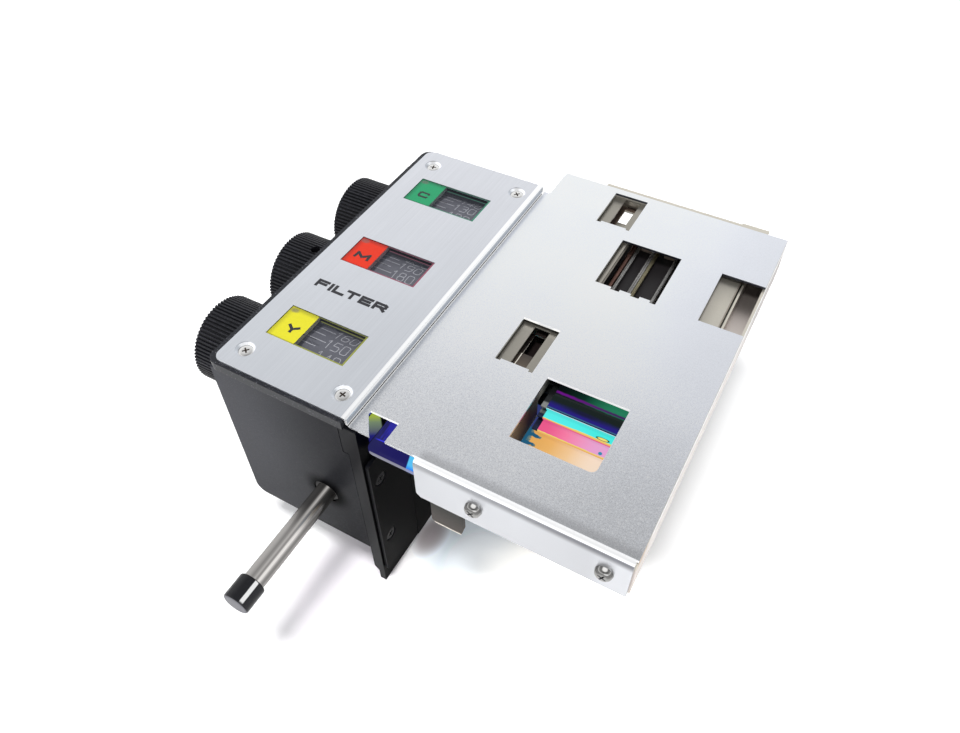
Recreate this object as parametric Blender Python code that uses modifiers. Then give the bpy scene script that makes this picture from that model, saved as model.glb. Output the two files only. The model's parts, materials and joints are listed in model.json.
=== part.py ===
"""Colour filter module of a photo enlarger head.

A control box carries three ribbed knobs.  Each knob turns a shaft with a drum
and a small pinion.  The pinion drives a rack, and a slider arm above the rack
passes through the side plate and holds one dichroic pane inside the flat
filter tray.  A push rod enters the near wall of the box, for white light.

Axes: +X (right) from the knobs towards the filter tray, +Y (far) away from the
user, +Z up.  The world origin is on the seating face of the side plate.
Working dimensions are in millimetres and are turned into metres by MM.
"""
import math
from collections import namedtuple

import bmesh
import bpy
from mathutils import Matrix, Vector

MM = 0.001
# World origin in the working frame, whose x = 0 is the side plate's left face,
# y = 0 the escutcheon's near edge and z = 0 the escutcheon's top.
ORIGIN = Vector((5.0, 70.0, -60.0))
SEGMENTS = 48
FLAT = 0                      # smoothing angle that leaves the faces flat

# ---- control box and its top --------------------------------------------
BOX_X0, BOX_X1 = -56.5, -0.15
BOX_Y0, BOX_Y1 = -0.7, 141.8
BOX_Z0, BOX_Z1 = -82.0, -5.0
WALL = 1.5
BOX_EDGE_R = 4.5              # rounded lower left edge
TOP_SCREW_XS = (-47.1, -6.2)
TOP_SCREW_YS = (8.5, 132.0)
TOP_SCREW_Z = -0.3            # top of the screw heads
OPENING_X0, OPENING_X1 = -46.0, -13.0
OPENING_HALF = 7.8            # half width of an escutcheon opening along Y
INSERT_GAP = 0.1
INSERT_Z = (-2.2, -0.25)
DIVIDE_X = (-34.1, -33.8)     # gap between colour label and clear window

# ---- channels -----------------------------------------------------------
# y: centre line; density: setting at rest; lane: X range of rack and pinion;
# pane_top: top face of the pane; grub_angle: degrees from +Z towards +Y
Channel = namedtuple("Channel", "y density lane pane_top grub_angle label")
CHANNELS = {
    "c": Channel(y=114.1, density=126.0, lane=(-12.0, -10.0), pane_top=-7.0,
                 grub_angle=140.0, label="label_cyan"),
    "m": Channel(y=70.0, density=182.0, lane=(-6.8, -4.8), pane_top=-12.0,
                 grub_angle=0.0, label="label_magenta"),
    "y": Channel(y=25.8, density=148.0, lane=(-9.4, -7.4), pane_top=-9.5,
                 grub_angle=215.0, label="label_yellow"),
}
SHAFT_Z = -26.0
SHAFT_R = 2.5
SHAFT_X1 = 3.7
BORE_R = SHAFT_R + 0.06       # running fit on the shaft
SHAFT_CENTRES = [(0, channel.y, SHAFT_Z) for channel in CHANNELS.values()]

KNOB_R = 17.3
KNOB_X0, KNOB_X1 = -79.7, -57.3
KNOB_RIBS = 72
RIB_DEPTH = 0.75
GRUB_X = -65.5

DRUM_R = 21.8
DRUM_X0, DRUM_X1 = -38.6, -14.2
DRUM_RIM, DRUM_HUB_R, HALF_WEB = 1.6, 5.0, 1.2

TEETH = 10
MODULE = 0.8
PITCH_R = MODULE * TEETH / 2
PRESSURE_ANGLE = math.radians(20)
PITCH_Z = SHAFT_Z + PITCH_R   # rack pitch line
ROOT_DEPTH = 0.72
PINION_ADDENDUM = 0.58
RACK_TOP_Z = PITCH_Z + 3.5
RACK_TIP_Z = PITCH_Z - 0.45

# ---- panes and sliders --------------------------------------------------
MAX_DENSITY = 200.0
TRAVEL_PER_DENSITY = 22.16 / MAX_DENSITY
OPEN_Y = 54.2                 # near edge of a pane at zero density
PANE_T = 1.1
PANE_X0, PANE_X1 = 52.5, 82.0
PANE_LENGTH = 26.0
ARM_OFFSET, ARM_WIDTH = 11.0, 8.0
ARM_X1, HOLDER_X1 = 50.2, 55.0
HOLDER_INSET = 0.6
SLIDER_T = 0.6

# ---- side plate, doubler and tray ---------------------------------------
DOUBLER_SCREW_Y = 5.5
DOUBLER_SCREW_ZS = (-37.1, -75.6)
DOUBLER_X0, DOUBLER_X1 = 4.75, 6.3
CHASSIS_SCREW_YS = (104.0, 134.0)
CHASSIS_SCREW_Z = -8.75
COVER_SCREW_XS = (48.3, 92.0)
COVER_SCREW_Z = -13.9
COVER_SCREW_SEAT_Y = -1.55
COVER_TOP = -3.1
COVER_BOTTOM = COVER_TOP - 1.0
CHASSIS_TOP = COVER_BOTTOM - 0.25
GUIDE_TOP = -5.6

# ---- push rod -----------------------------------------------------------
ROD_CENTRE = (-16.3, 0, -54.0)
ROD_X, _, ROD_Z = ROD_CENTRE
ROD_R = 4.0
ROD_Y0, ROD_Y1 = -49.5, 39.9
BAR_Y = (40.0, 42.7)
BAR_Z0, BAR_X1 = -59.0, -1.2


# ---- scene and materials ------------------------------------------------
for old in list(bpy.data.objects):
    bpy.data.objects.remove(old, do_unlink=True)

PARTS = bpy.data.collections.new("colour_filter_module")
CUTTERS = bpy.data.collections.new("cutters")
bpy.context.scene.collection.children.link(PARTS)
bpy.context.scene.collection.children.link(CUTTERS)


def material(name, rgb, rough, metal=0.0, alpha=1.0, transmission=0.0):
    mat = bpy.data.materials.new(name)
    mat.use_nodes = True
    inputs = mat.node_tree.nodes["Principled BSDF"].inputs
    inputs["Base Color"].default_value = (*rgb, 1.0)
    inputs["Roughness"].default_value = rough
    inputs["Metallic"].default_value = metal
    inputs["Alpha"].default_value = alpha
    inputs["Transmission Weight"].default_value = transmission


def make_materials():
    material("black_housing", rgb=(0.045, 0.045, 0.055), rough=0.55)
    material("black_plate", rgb=(0.014, 0.016, 0.02), rough=0.5)
    material("black_rim", rgb=(0.018, 0.02, 0.025), rough=0.35)
    material("black_knob", rgb=(0.012, 0.012, 0.016), rough=0.4)
    material("black_gloss", rgb=(0.01, 0.01, 0.012), rough=0.08)
    material("drum_grey", rgb=(0.11, 0.11, 0.12), rough=0.6)
    material("alu_brushed", rgb=(0.63, 0.66, 0.68), rough=0.32, metal=1.0)
    material("alu_spark", rgb=(0.6, 0.62, 0.65), rough=0.4, metal=1.0)
    material("nickel", rgb=(0.5, 0.47, 0.4), rough=0.3, metal=1.0)
    material("steel", rgb=(0.6, 0.6, 0.6), rough=0.2, metal=1.0)
    material("spring_steel", rgb=(0.5, 0.48, 0.45), rough=0.3, metal=1.0)
    material("brass", rgb=(0.6, 0.42, 0.16), rough=0.3, metal=1.0)
    material("label_cyan", rgb=(0.03, 0.38, 0.17), rough=0.35)
    material("label_magenta", rgb=(0.72, 0.06, 0.02), rough=0.35)
    material("label_yellow", rgb=(0.78, 0.78, 0.08), rough=0.35)
    material("acrylic", rgb=(0.9, 0.9, 0.85), rough=0.1, alpha=0.5, transmission=0.8)
    material("glass_c", rgb=(0.1, 0.7, 0.9), rough=0.05, alpha=0.5, transmission=0.8)
    material("glass_m", rgb=(0.9, 0.2, 0.6), rough=0.05, alpha=0.5, transmission=0.8)
    material("glass_y", rgb=(0.95, 0.85, 0.1), rough=0.05, alpha=0.5, transmission=0.8)
    material("glass_heat", rgb=(0.1, 0.08, 0.45), rough=0.05, alpha=0.6, transmission=0.7)


# ---- solids -------------------------------------------------------------
def world(point):
    """World position in metres of a point in the working frame."""
    return (Vector(point) - ORIGIN) * MM


def from_bmesh(name, bm, origin):
    """Turn a bmesh in working millimetres into an object at origin."""
    origin = Vector(origin)
    for v in bm.verts:
        v.co = (v.co - origin) * MM
    mesh = bpy.data.meshes.new(name)
    bm.to_mesh(mesh)
    bm.free()
    piece = bpy.data.objects.new(name, mesh)
    piece.location = world(origin)
    PARTS.objects.link(piece)
    return piece


def box(name, low, high):
    """Box between two corners, with its origin at the centre."""
    bm = bmesh.new()
    bmesh.ops.create_cube(bm, size=1.0)
    low, high = Vector(low), Vector(high)
    mid = (low + high) / 2
    size = high - low
    for v in bm.verts:
        v.co = Vector([m + u * s for m, u, s in zip(mid, v.co, size)])
    return from_bmesh(name, bm, mid)


def boxes(corners):
    """One tool box for each (low, high) pair of corners."""
    return [box("tool", low, high) for low, high in corners]


def turn_z_to(axis):
    """Rotation taking +Z to the named axis."""
    return {"x": Matrix.Rotation(math.pi / 2, 3, "Y"),
            "y": Matrix.Rotation(-math.pi / 2, 3, "X"),
            "-y": Matrix.Rotation(math.pi / 2, 3, "X"),
            "z": Matrix.Identity(3)}[axis]


def rod(name, axis, centre, radius, start, end, end_radius=None, seg=SEGMENTS, origin=None):
    """Cylinder or cone on an axis through centre, from start to end along it."""
    bm = bmesh.new()
    bmesh.ops.create_cone(bm, cap_ends=True, segments=seg, radius1=radius,
                          radius2=radius if end_radius is None else end_radius,
                          depth=abs(end - start))
    turn = turn_z_to(axis)
    middle = Vector(centre)
    middle["xyz".index(axis)] = (start + end) / 2
    for v in bm.verts:
        v.co = turn @ v.co + middle
    return from_bmesh(name, bm, origin or middle)


def rods(axis, centres, radius, start, end, seg):
    """One tool cylinder through each centre."""
    return [rod("tool", axis, centre, radius, start, end, seg=seg) for centre in centres]


def outline(name, points, plane, start, end, origin=None):
    """Flat outline as a filled 2D curve, extruded from start to end.

    plane 'xy' extrudes along Z, 'yz' along X and 'xz' along Y.
    The origin defaults to the mean of the vertices.
    """
    curve = bpy.data.curves.new(name + "_outline", "CURVE")
    curve.dimensions = "2D"
    curve.fill_mode = "BOTH"
    curve.extrude = abs(end - start) / 2
    spline = curve.splines.new("POLY")
    spline.points.add(len(points) - 1)
    for spline_point, (u, w) in zip(spline.points, points):
        spline_point.co = (u, w, 0.0, 1.0)
    spline.use_cyclic_u = True
    helper = bpy.data.objects.new(name + "_helper", curve)
    CUTTERS.objects.link(helper)
    bpy.context.view_layer.update()
    depsgraph = bpy.context.evaluated_depsgraph_get()
    mesh = bpy.data.meshes.new_from_object(helper.evaluated_get(depsgraph))
    bpy.data.objects.remove(helper, do_unlink=True)
    bm = bmesh.new()
    bm.from_mesh(mesh)
    bpy.data.meshes.remove(mesh)
    bmesh.ops.remove_doubles(bm, verts=bm.verts, dist=1e-4)
    mid = (start + end) / 2
    for v in bm.verts:
        u, w, h = v.co
        if plane == "xy":
            v.co = Vector((u, w, mid + h))
        elif plane == "yz":
            v.co = Vector((mid + h, u, w))
        else:
            v.co = Vector((u, mid - h, w))
    bmesh.ops.recalc_face_normals(bm, faces=bm.faces)
    if origin is None:
        origin = sum((v.co for v in bm.verts), Vector()) / len(bm.verts)
    return from_bmesh(name, bm, origin)


def turned(name, axis, centre, profile, seg=SEGMENTS):
    """Body of revolution from (radius, height) points; height runs along axis."""
    mesh = bpy.data.meshes.new(name)
    bm = bmesh.new()
    verts = [bm.verts.new((r * MM, 0.0, h * MM)) for r, h in profile]
    for pair in zip(verts, verts[1:]):
        bm.edges.new(pair)
    if profile[0][0] > 1e-6 or profile[-1][0] > 1e-6:
        bm.edges.new((verts[-1], verts[0]))
    bm.to_mesh(mesh)
    bm.free()
    piece = bpy.data.objects.new(name, mesh)
    PARTS.objects.link(piece)
    screw = piece.modifiers.new("turn", "SCREW")
    screw.axis = "Z"
    screw.angle = 2 * math.pi
    screw.steps = seg
    screw.render_steps = seg
    screw.use_merge_vertices = True
    screw.merge_threshold = 0.00001
    screw.use_smooth_shade = False
    piece.location = world(centre)
    piece.rotation_mode = "QUATERNION"
    piece.rotation_quaternion = turn_z_to(axis).to_quaternion()
    bake(piece)
    return piece


# ---- operations on solids -----------------------------------------------
def bake(piece):
    """Apply the modifier stack and make the faces point outwards."""
    bpy.context.view_layer.update()
    depsgraph = bpy.context.evaluated_depsgraph_get()
    mesh = bpy.data.meshes.new_from_object(piece.evaluated_get(depsgraph))
    old_mesh = piece.data
    piece.modifiers.clear()
    piece.data = mesh
    mesh.name = piece.name
    bpy.data.meshes.remove(old_mesh)
    bm = bmesh.new()
    bm.from_mesh(mesh)
    bmesh.ops.remove_doubles(bm, verts=bm.verts, dist=1e-6)
    bmesh.ops.dissolve_degenerate(bm, edges=bm.edges, dist=1e-6)
    bmesh.ops.recalc_face_normals(bm, faces=bm.faces)
    if bm.calc_volume(signed=True) < 0:
        bmesh.ops.reverse_faces(bm, faces=bm.faces)
    bm.to_mesh(mesh)
    bm.free()


def combine(piece, tools, operation):
    """Apply the tools one after another and remove them."""
    for tool in tools:
        boolean = piece.modifiers.new("bool", "BOOLEAN")
        boolean.operation = operation
        boolean.solver = "EXACT"
        boolean.object = tool
        bake(piece)
        bpy.data.objects.remove(tool, do_unlink=True)


def cut(piece, *tools):
    combine(piece, tools, "DIFFERENCE")


def weld(piece, *tools):
    combine(piece, tools, "UNION")


def chamfer(piece, width):
    edge = piece.modifiers.new("edge", "BEVEL")
    edge.width = width * MM
    edge.segments = 1
    edge.limit_method = "ANGLE"
    edge.angle_limit = math.radians(60)
    bake(piece)


def finish(piece, material_name, smooth_angle=35):
    piece.data.materials.clear()
    piece.data.materials.append(bpy.data.materials[material_name])
    if smooth_angle:
        piece.data.shade_smooth()
        piece.data.set_sharp_from_angle(angle=math.radians(smooth_angle))


def cut_cross(screw, axis, centre, size, angle):
    """Cross recess: two slots centred on a point, 90 degrees apart about axis."""
    half = Vector(size) / 2
    for slot_angle in (angle, angle + 90):
        slot = box("slot", -half, half)
        slot.rotation_euler["xyz".index(axis)] = math.radians(slot_angle)
        slot.location = world(centre)
        cut(screw, slot)


# ---- outlines -----------------------------------------------------------
def arc(cx, cy, radius, start, end, steps):
    """Points on an arc; angles in degrees."""
    angles = [math.radians(start + (end - start) * i / steps) for i in range(steps + 1)]
    return [(cx + radius * math.cos(a), cy + radius * math.sin(a)) for a in angles]


def round_rect(x0, y0, x1, y1, radius, steps, corners=(1, 1, 1, 1)):
    """Rectangle; corners are (x0, y0), (x1, y0), (x1, y1), (x0, y1), 1 = rounded."""
    points = []
    # corner x, corner y, start angle, direction to the arc centre in x and y
    spec = [(x0, y0, 180, 1, 1), (x1, y0, 270, -1, 1),
            (x1, y1, 0, -1, -1), (x0, y1, 90, 1, -1)]
    for (cx, cy, start, sx, sy), rounded in zip(spec, corners):
        if rounded:
            points += arc(cx + sx * radius, cy + sy * radius, radius, start, start + 90, steps)
        else:
            points.append((cx, cy))
    return points


def polar(radius, angle):
    """Point at an angle in radians from +Z towards +Y."""
    return radius * math.sin(angle), radius * math.cos(angle)


def around_shaft(points, channel):
    return [(channel.y + u, SHAFT_Z + v) for u, v in points]


# ---- control box --------------------------------------------------------
def make_housing():
    """Box open at the top and on the right."""
    centre = (BOX_X0 + BOX_EDGE_R, BOX_Z0 + BOX_EDGE_R)
    outer = [(BOX_X1, BOX_Z1), (BOX_X0, BOX_Z1), *arc(*centre, BOX_EDGE_R, 180, 270, 6),
             (BOX_X1, BOX_Z0)]
    inner = [(BOX_X1 + 5, BOX_Z1 + 5), (BOX_X0 + WALL, BOX_Z1 + 5),
             *arc(*centre, BOX_EDGE_R - WALL, 180, 270, 6), (BOX_X1 + 5, BOX_Z0 + WALL)]
    housing = outline("housing", outer, "xz", BOX_Y0, BOX_Y1, (BOX_X1, 70.5, -60))
    cut(housing, outline("cavity", inner, "xz", BOX_Y0 + WALL, BOX_Y1 - WALL))
    cut(housing, *rods("x", SHAFT_CENTRES, BORE_R, BOX_X0 - 2, BOX_X0 + 4, seg=32))
    cut(housing, rod("rod_hole", "y", ROD_CENTRE, 5.3, BOX_Y0 - 2, BOX_Y0 + 4, seg=40))
    # step for the side plate's upper tab at the near end
    cut(housing, box("step", (-2.6, BOX_Y0 - 1, -19.0), (3, BOX_Y0 + 4.0, -3)))
    finish(housing, "black_housing")


def make_rim():
    rim = outline("rim_frame", round_rect(-57.1, -1.2, BOX_X1, 142.4, 4.2, 6, (1, 0, 0, 1)),
                  "xy", -4.9, -1.1)
    cut(rim, outline("opening", round_rect(-48.5, 14.0, -10.5, 127.0, 2.0, 3), "xy", -8, 2))
    for x in TOP_SCREW_XS:
        for y in TOP_SCREW_YS:
            cut(rim, rod("hole", "z", (x, y, 0), 1.62, -8, 1, seg=24),
                rod("countersink", "z", (x, y, 0), 1.0, -2.5, -0.7, end_radius=3.0, seg=32))
    chamfer(rim, 0.35)
    finish(rim, "black_rim")


def make_escutcheon():
    plate = outline("escutcheon", round_rect(-54.5, 0.0, 0.7, 141.2, 3.4, 6, (1, 0, 0, 1)),
                    "xy", -1.0, 0.0)
    # (x, z) section of the lip that turns down along the right edge
    lip = [(0.3, -0.5), (0.3, -0.06), (0.8, -0.06), (1.25, -0.3), (1.5, -0.8),
           (1.5, -3.0), (0.5, -3.0), (0.5, -0.5)]
    weld(plate, outline("lip", lip, "xz", 0.05, 141.15))
    for channel in CHANNELS.values():
        cut(plate, box("opening", (OPENING_X0, channel.y - OPENING_HALF, -3),
                       (OPENING_X1, channel.y + OPENING_HALF, 2)))
    for x in TOP_SCREW_XS:
        for y in TOP_SCREW_YS:
            cut(plate, rod("countersink", "z", (x, y, 0), 2.35, -1.25, 0.25,
                           end_radius=3.85, seg=40))
    finish(plate, "alu_brushed")


def make_escutcheon_screws():
    """Countersunk screws with cross recesses."""
    profile = [(0, 0), (2.75, 0), (3.0, -0.2), (1.5, -1.7), (1.5, -7.0), (1.1, -7.6),
               (0, -7.6)]
    centres = [(x, y, TOP_SCREW_Z) for y in TOP_SCREW_YS for x in TOP_SCREW_XS]
    for i, centre in enumerate(centres, 1):
        screw = turned(f"escutcheon_screw_{i}", "z", centre, profile, seg=28)
        cut_cross(screw, "z", centre, size=(3.0, 0.66, 2.1), angle=25)
        finish(screw, "steel")


def make_windows():
    """Colour label on the left and clear window on the right of each opening."""
    z0, z1 = INSERT_Z
    half = OPENING_HALF - INSERT_GAP
    for key, channel in CHANNELS.items():
        y0, y1 = channel.y - half, channel.y + half
        label = box("label_" + key, (OPENING_X0 + INSERT_GAP, y0, z0), (DIVIDE_X[0], y1, z1))
        finish(label, channel.label, FLAT)
        window = box("window_" + key, (DIVIDE_X[1], y0, z0), (OPENING_X1 - INSERT_GAP, y1, z1))
        finish(window, "acrylic", FLAT)


# ---- knobs, shafts, drums, pinions --------------------------------------
def knob_outline():
    """Ribbed rim; each rib takes four points."""
    step = 2 * math.pi / KNOB_RIBS
    valley = KNOB_R - RIB_DEPTH
    # position as a fraction of the rib pitch, radius
    rib = ((-0.30, KNOB_R), (0.14, KNOB_R), (0.32, valley), (0.52, valley))
    return [polar(r, (i + f) * step) for i in range(KNOB_RIBS) for f, r in rib]


def place_radially(piece, channel):
    """Put a Z-aligned grub screw solid on the shaft axis at its angle."""
    piece.location = world((GRUB_X, channel.y, SHAFT_Z))
    piece.rotation_euler = (-math.radians(channel.grub_angle), 0, 0)


def make_knob(key, channel):
    centre = (0, channel.y, SHAFT_Z)
    knob = outline("knob_" + key, around_shaft(knob_outline(), channel), "yz",
                   KNOB_X0 + 0.9, KNOB_X1, (KNOB_X1, channel.y, SHAFT_Z))
    weld(knob, rod("face", "x", centre, KNOB_R - 1.5, KNOB_X0, KNOB_X0 + 2.0))
    cut(knob, rod("bore", "x", centre, SHAFT_R + 0.05, KNOB_X0 + 4.0, KNOB_X1 + 2, seg=32))
    hole = rod("hole", "z", (0, 0, 0), 1.9, 1.0, 19.0, seg=20, origin=(0, 0, 0))
    place_radially(hole, channel)
    cut(knob, hole)
    finish(knob, "black_knob", 20)


def make_grub_screw(key, channel):
    """Radial screw with a hexagon socket, cut before it is placed."""
    screw = rod("grub_screw_" + key, "z", (0, 0, 0), 1.75, 2.6, 12.5, seg=16,
                origin=(0, 0, 0))
    cut(screw, rod("socket", "z", (0, 0, 0), 0.8, 11.0, 13.5, seg=6, origin=(0, 0, 0)))
    place_radially(screw, channel)
    finish(screw, "steel")


def make_shaft(key, channel):
    shaft = rod("shaft_" + key, "x", (0, channel.y, SHAFT_Z), SHAFT_R, KNOB_X0 + 4.5,
                SHAFT_X1, seg=32)
    finish(shaft, "steel")


def make_drum(key, channel):
    """Hub and rim joined by a central web."""
    width = DRUM_X1 - DRUM_X0
    web0, web1 = width / 2 - HALF_WEB, width / 2 + HALF_WEB
    rim_r = DRUM_R - DRUM_RIM
    profile = [(BORE_R, width), (DRUM_HUB_R, width), (DRUM_HUB_R, web1), (rim_r, web1),
               (rim_r, width), (DRUM_R, width), (DRUM_R, 0), (rim_r, 0),
               (rim_r, web0), (DRUM_HUB_R, web0), (DRUM_HUB_R, 0), (BORE_R, 0)]
    drum = turned("drum_" + key, "x", (DRUM_X0, channel.y, SHAFT_Z), profile, seg=60)
    finish(drum, "drum_grey")


def pinion_outline():
    """Involute pinion with a short addendum, one tooth centred on +Z."""
    base_r = PITCH_R * math.cos(PRESSURE_ANGLE)
    tip_r = PITCH_R + PINION_ADDENDUM
    involute = math.tan(PRESSURE_ANGLE) - PRESSURE_ANGLE
    half_tooth = math.pi / (2 * TEETH) - 0.030      # less backlash
    steps = 4
    flank = []                                      # radius, half angle
    for i in range(steps + 1):
        r = base_r + (tip_r - base_r) * i / steps
        a = math.acos(min(1.0, base_r / r))
        flank.append((r, half_tooth + involute - (math.tan(a) - a)))
    flank.insert(0, (PITCH_R - ROOT_DEPTH, flank[0][1]))
    points = []
    for tooth in range(TEETH):
        middle = 2 * math.pi * tooth / TEETH
        points += [polar(r, middle - half) for r, half in flank]
        points += [polar(r, middle + half) for r, half in reversed(flank)]
    return points


def make_pinion(key, channel):
    x0, x1 = channel.lane
    pinion = outline("pinion_" + key, around_shaft(pinion_outline(), channel), "yz",
                     x0 + 0.05, x1 - 0.05, (x0, channel.y, SHAFT_Z))
    cut(pinion, rod("bore", "x", (0, channel.y, SHAFT_Z), BORE_R, x0 - 2, x1 + 2, seg=32))
    finish(pinion, "brass", 25)


# ---- racks, sliders, panes ----------------------------------------------
def pane_y(channel):
    """Near edge of the pane at the resting density."""
    return OPEN_Y - TRAVEL_PER_DENSITY * channel.density


def make_rack(key, channel):
    """Rack bar with teeth facing down, in mesh with the pinion tooth at its top."""
    to_zero = TRAVEL_PER_DENSITY * channel.density
    to_full = TRAVEL_PER_DENSITY * (MAX_DENSITY - channel.density)
    root_z = PITCH_Z + ROOT_DEPTH
    arm_y = pane_y(channel) + ARM_OFFSET
    teeth_y0, teeth_y1 = channel.y - to_zero - 2.4, channel.y + to_full + 2.4
    y0 = min(teeth_y0, arm_y - 1.0)
    y1 = max(teeth_y1, arm_y + ARM_WIDTH + 25.0)
    pitch = math.pi * MODULE
    slope = math.tan(PRESSURE_ANGLE)
    half_tooth = pitch / 4 - 0.12                   # at the pitch line, less backlash
    root = half_tooth + (root_z - PITCH_Z) * slope
    tip = half_tooth - (PITCH_Z - RACK_TIP_Z) * slope
    points = [(y1, RACK_TOP_Z), (y0, RACK_TOP_Z), (y0, root_z)]
    first = math.ceil((teeth_y0 - channel.y) / pitch - 0.5)
    last = math.floor((teeth_y1 - channel.y) / pitch - 0.5)
    for i in range(first, last + 1):
        y = channel.y + (i + 0.5) * pitch           # a gap faces the pinion's top tooth
        if y - root >= y0 + 0.05 and y + root <= y1 - 0.05:
            points += [(y - root, root_z), (y - tip, RACK_TIP_Z),
                       (y + tip, RACK_TIP_Z), (y + root, root_z)]
    points.append((y1, root_z))
    finish(outline("rack_" + key, points, "yz", *channel.lane), "steel", FLAT)


def make_slider(key, channel):
    """Flat arm with a wider holder under the pane and a foot above the rack."""
    x0, x1 = channel.lane
    y0 = pane_y(channel)
    arm_y0 = y0 + ARM_OFFSET
    arm_y1 = arm_y0 + ARM_WIDTH
    holder_y0, holder_y1 = y0 + HOLDER_INSET, y0 + PANE_LENGTH - HOLDER_INSET
    top = channel.pane_top - PANE_T - 0.05
    bottom = top - SLIDER_T
    points = [(x0, arm_y0), (ARM_X1, arm_y0), (ARM_X1, holder_y0), (HOLDER_X1, holder_y0),
              (HOLDER_X1, holder_y1), (ARM_X1, holder_y1), (ARM_X1, arm_y1), (x0, arm_y1)]
    slider = outline("slider_" + key, points, "xy", bottom, top)
    weld(slider, box("foot", (x0, arm_y0, RACK_TOP_Z + 0.3), (x1, arm_y1, bottom + 0.3)))
    finish(slider, "black_plate", FLAT)


def make_pane(key, channel):
    y0 = pane_y(channel)
    pane = box("filter_" + key, (PANE_X0, y0, channel.pane_top - PANE_T),
               (PANE_X1, y0 + PANE_LENGTH, channel.pane_top))
    finish(pane, "glass_" + key, FLAT)


# ---- side plate, doubler ------------------------------------------------
def make_side_plate():
    # (x, z) section
    section = [(0.0, -4.45), (5.0, -4.45), (5.0, -105.5), (2.0, -105.5), (2.0, -99.4),
               (0.4, -97.6), (0.0, -97.0)]
    plate = outline("side_plate", section, "xz", BOX_Y0, BOX_Y1, ORIGIN)
    weld(plate, box("tab", (-2.3, BOX_Y0, -18.7), (0.5, BOX_Y0 + 3.6, -5.0)))
    cut(plate, box("arm_slot", (-1, 42.4, -14.1), (8, 98.7, -7.9)))
    cut(plate, *rods("x", SHAFT_CENTRES, BORE_R, -2, 4.0, seg=32))
    doubler_holes = [(0, DOUBLER_SCREW_Y, z) for z in DOUBLER_SCREW_ZS]
    cut(plate, *rods("x", doubler_holes, 1.75, 1.0, 8, seg=24))
    # relief along the top and the near end leaves the seating face 0.3 mm proud
    cut(plate, *boxes([((4.7, -2, -30.0), (6.0, 143.0, -3.0)),
                       ((4.7, -2, -107.0), (6.0, 24.0, -28.0))]))
    chassis_holes = [(0, y, CHASSIS_SCREW_Z) for y in CHASSIS_SCREW_YS]
    cut(plate, *rods("x", chassis_holes, 1.45, 1.5, 8, seg=20))
    finish(plate, "black_plate")


def make_doubler():
    """Strip on the right face of the side plate, at its near end."""
    doubler = outline("doubler_plate", round_rect(0.3, -96.6, 22.2, -24.0, 1.2, 3), "yz",
                      DOUBLER_X0, DOUBLER_X1)
    centres = [(0, DOUBLER_SCREW_Y, z) for z in DOUBLER_SCREW_ZS]
    cut(doubler, *rods("x", centres, 3.0, 4.0, DOUBLER_X1 + 0.5, seg=32))
    finish(doubler, "black_plate")
    profile = [(0, 6.15), (2.5, 6.15), (2.8, 5.85), (2.8, 5.3), (1.4, 5.3), (1.4, 1.3),
               (0, 1.3)]
    for i, (x, y, z) in enumerate(centres, 1):
        screw = turned(f"doubler_screw_{i}", "x", (x, y, z), profile, seg=24)
        cut_cross(screw, "x", (DOUBLER_X1, y, z), size=(2.1, 0.6, 2.8), angle=10)
        finish(screw, "black_plate")


# ---- tray ---------------------------------------------------------------
# openings through the cover: x0, y0, x1, y1
COVER_OPENINGS = [
    (28.9, 135.4, 43.0, 155.6), (43.2, 100.7, 67.4, 128.1),
    (28.7, 49.3, 43.0, 70.9), (83.7, 99.3, 104.0, 127.7),
    # small steps in the near edges of the first three
    (28.7, 48.4, 30.7, 49.5), (41.5, 48.4, 43.0, 49.5),
    (28.9, 134.5, 30.8, 135.6), (41.6, 134.5, 43.0, 135.6),
    (49.8, 99.5, 53.2, 100.9), (57.7, 99.5, 61.0, 100.9), (65.2, 99.5, 67.4, 100.9),
]


def make_cover():
    """Top sheet with a rounded flange folded down along the near edge."""
    sheet = [(1.65, 0.0), (9.8, 0.0), (4.6, 7.2), (4.6, 8.7), (15.3, 8.7), (15.3, 0.5),
             (100.3, 0.5), (100.3, 158.8), (4.4, 158.8), (4.4, 142.0), (1.65, 142.0)]
    cover = outline("tray_cover", sheet, "xy", COVER_BOTTOM, COVER_TOP)
    bend = (0.5, COVER_TOP - 2.0)
    section = [(1.2, COVER_TOP), *arc(*bend, 2.0, 90, 180, 5), (-1.5, -22.5), (-0.5, -22.5),
               *arc(*bend, 1.0, 180, 90, 5), (1.2, COVER_BOTTOM)]
    flange = outline("flange", section, "yz", 26.8, 99.8)
    corner = [(26.0, -20.9), (26.8, -20.9), (28.4, -22.5), (28.4, -24.0), (26.0, -24.0)]
    cut(flange, outline("corner", corner, "xz", -5, 3))
    weld(cover, flange)
    cut(cover, *boxes(((x0, y0, -10), (x1, y1, 0)) for x0, y0, x1, y1 in COVER_OPENINGS))
    cut(cover, outline("well", round_rect(48.6, 21.2, 78.0, 49.4, 2.2, 4, (0, 1, 0, 0)),
                       "xy", -10, 0))
    centres = [(x, 0, COVER_SCREW_Z) for x in COVER_SCREW_XS]
    cut(cover, *rods("y", centres, 1.75, -5, 2, seg=24))
    finish(cover, "alu_spark")


def make_cover_screws():
    """Pan head screws in the near flange, heads towards -Y."""
    head = 2.1
    profile = [(0, head), (1.0, 2.05), (1.9, 1.75), (2.6, 1.2), (3.0, 0.35), (3.0, 0.0),
               (1.45, 0.0), (1.45, -2.6), (0, -2.6)]
    for i, x in enumerate(COVER_SCREW_XS, 1):
        screw = turned(f"cover_screw_{i}", "-y", (x, COVER_SCREW_SEAT_Y, COVER_SCREW_Z),
                       profile, seg=28)
        cut_cross(screw, "y", (x, COVER_SCREW_SEAT_Y - head, COVER_SCREW_Z),
                  size=(3.2, 2.3, 0.66), angle=20)
        finish(screw, "steel")


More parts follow.
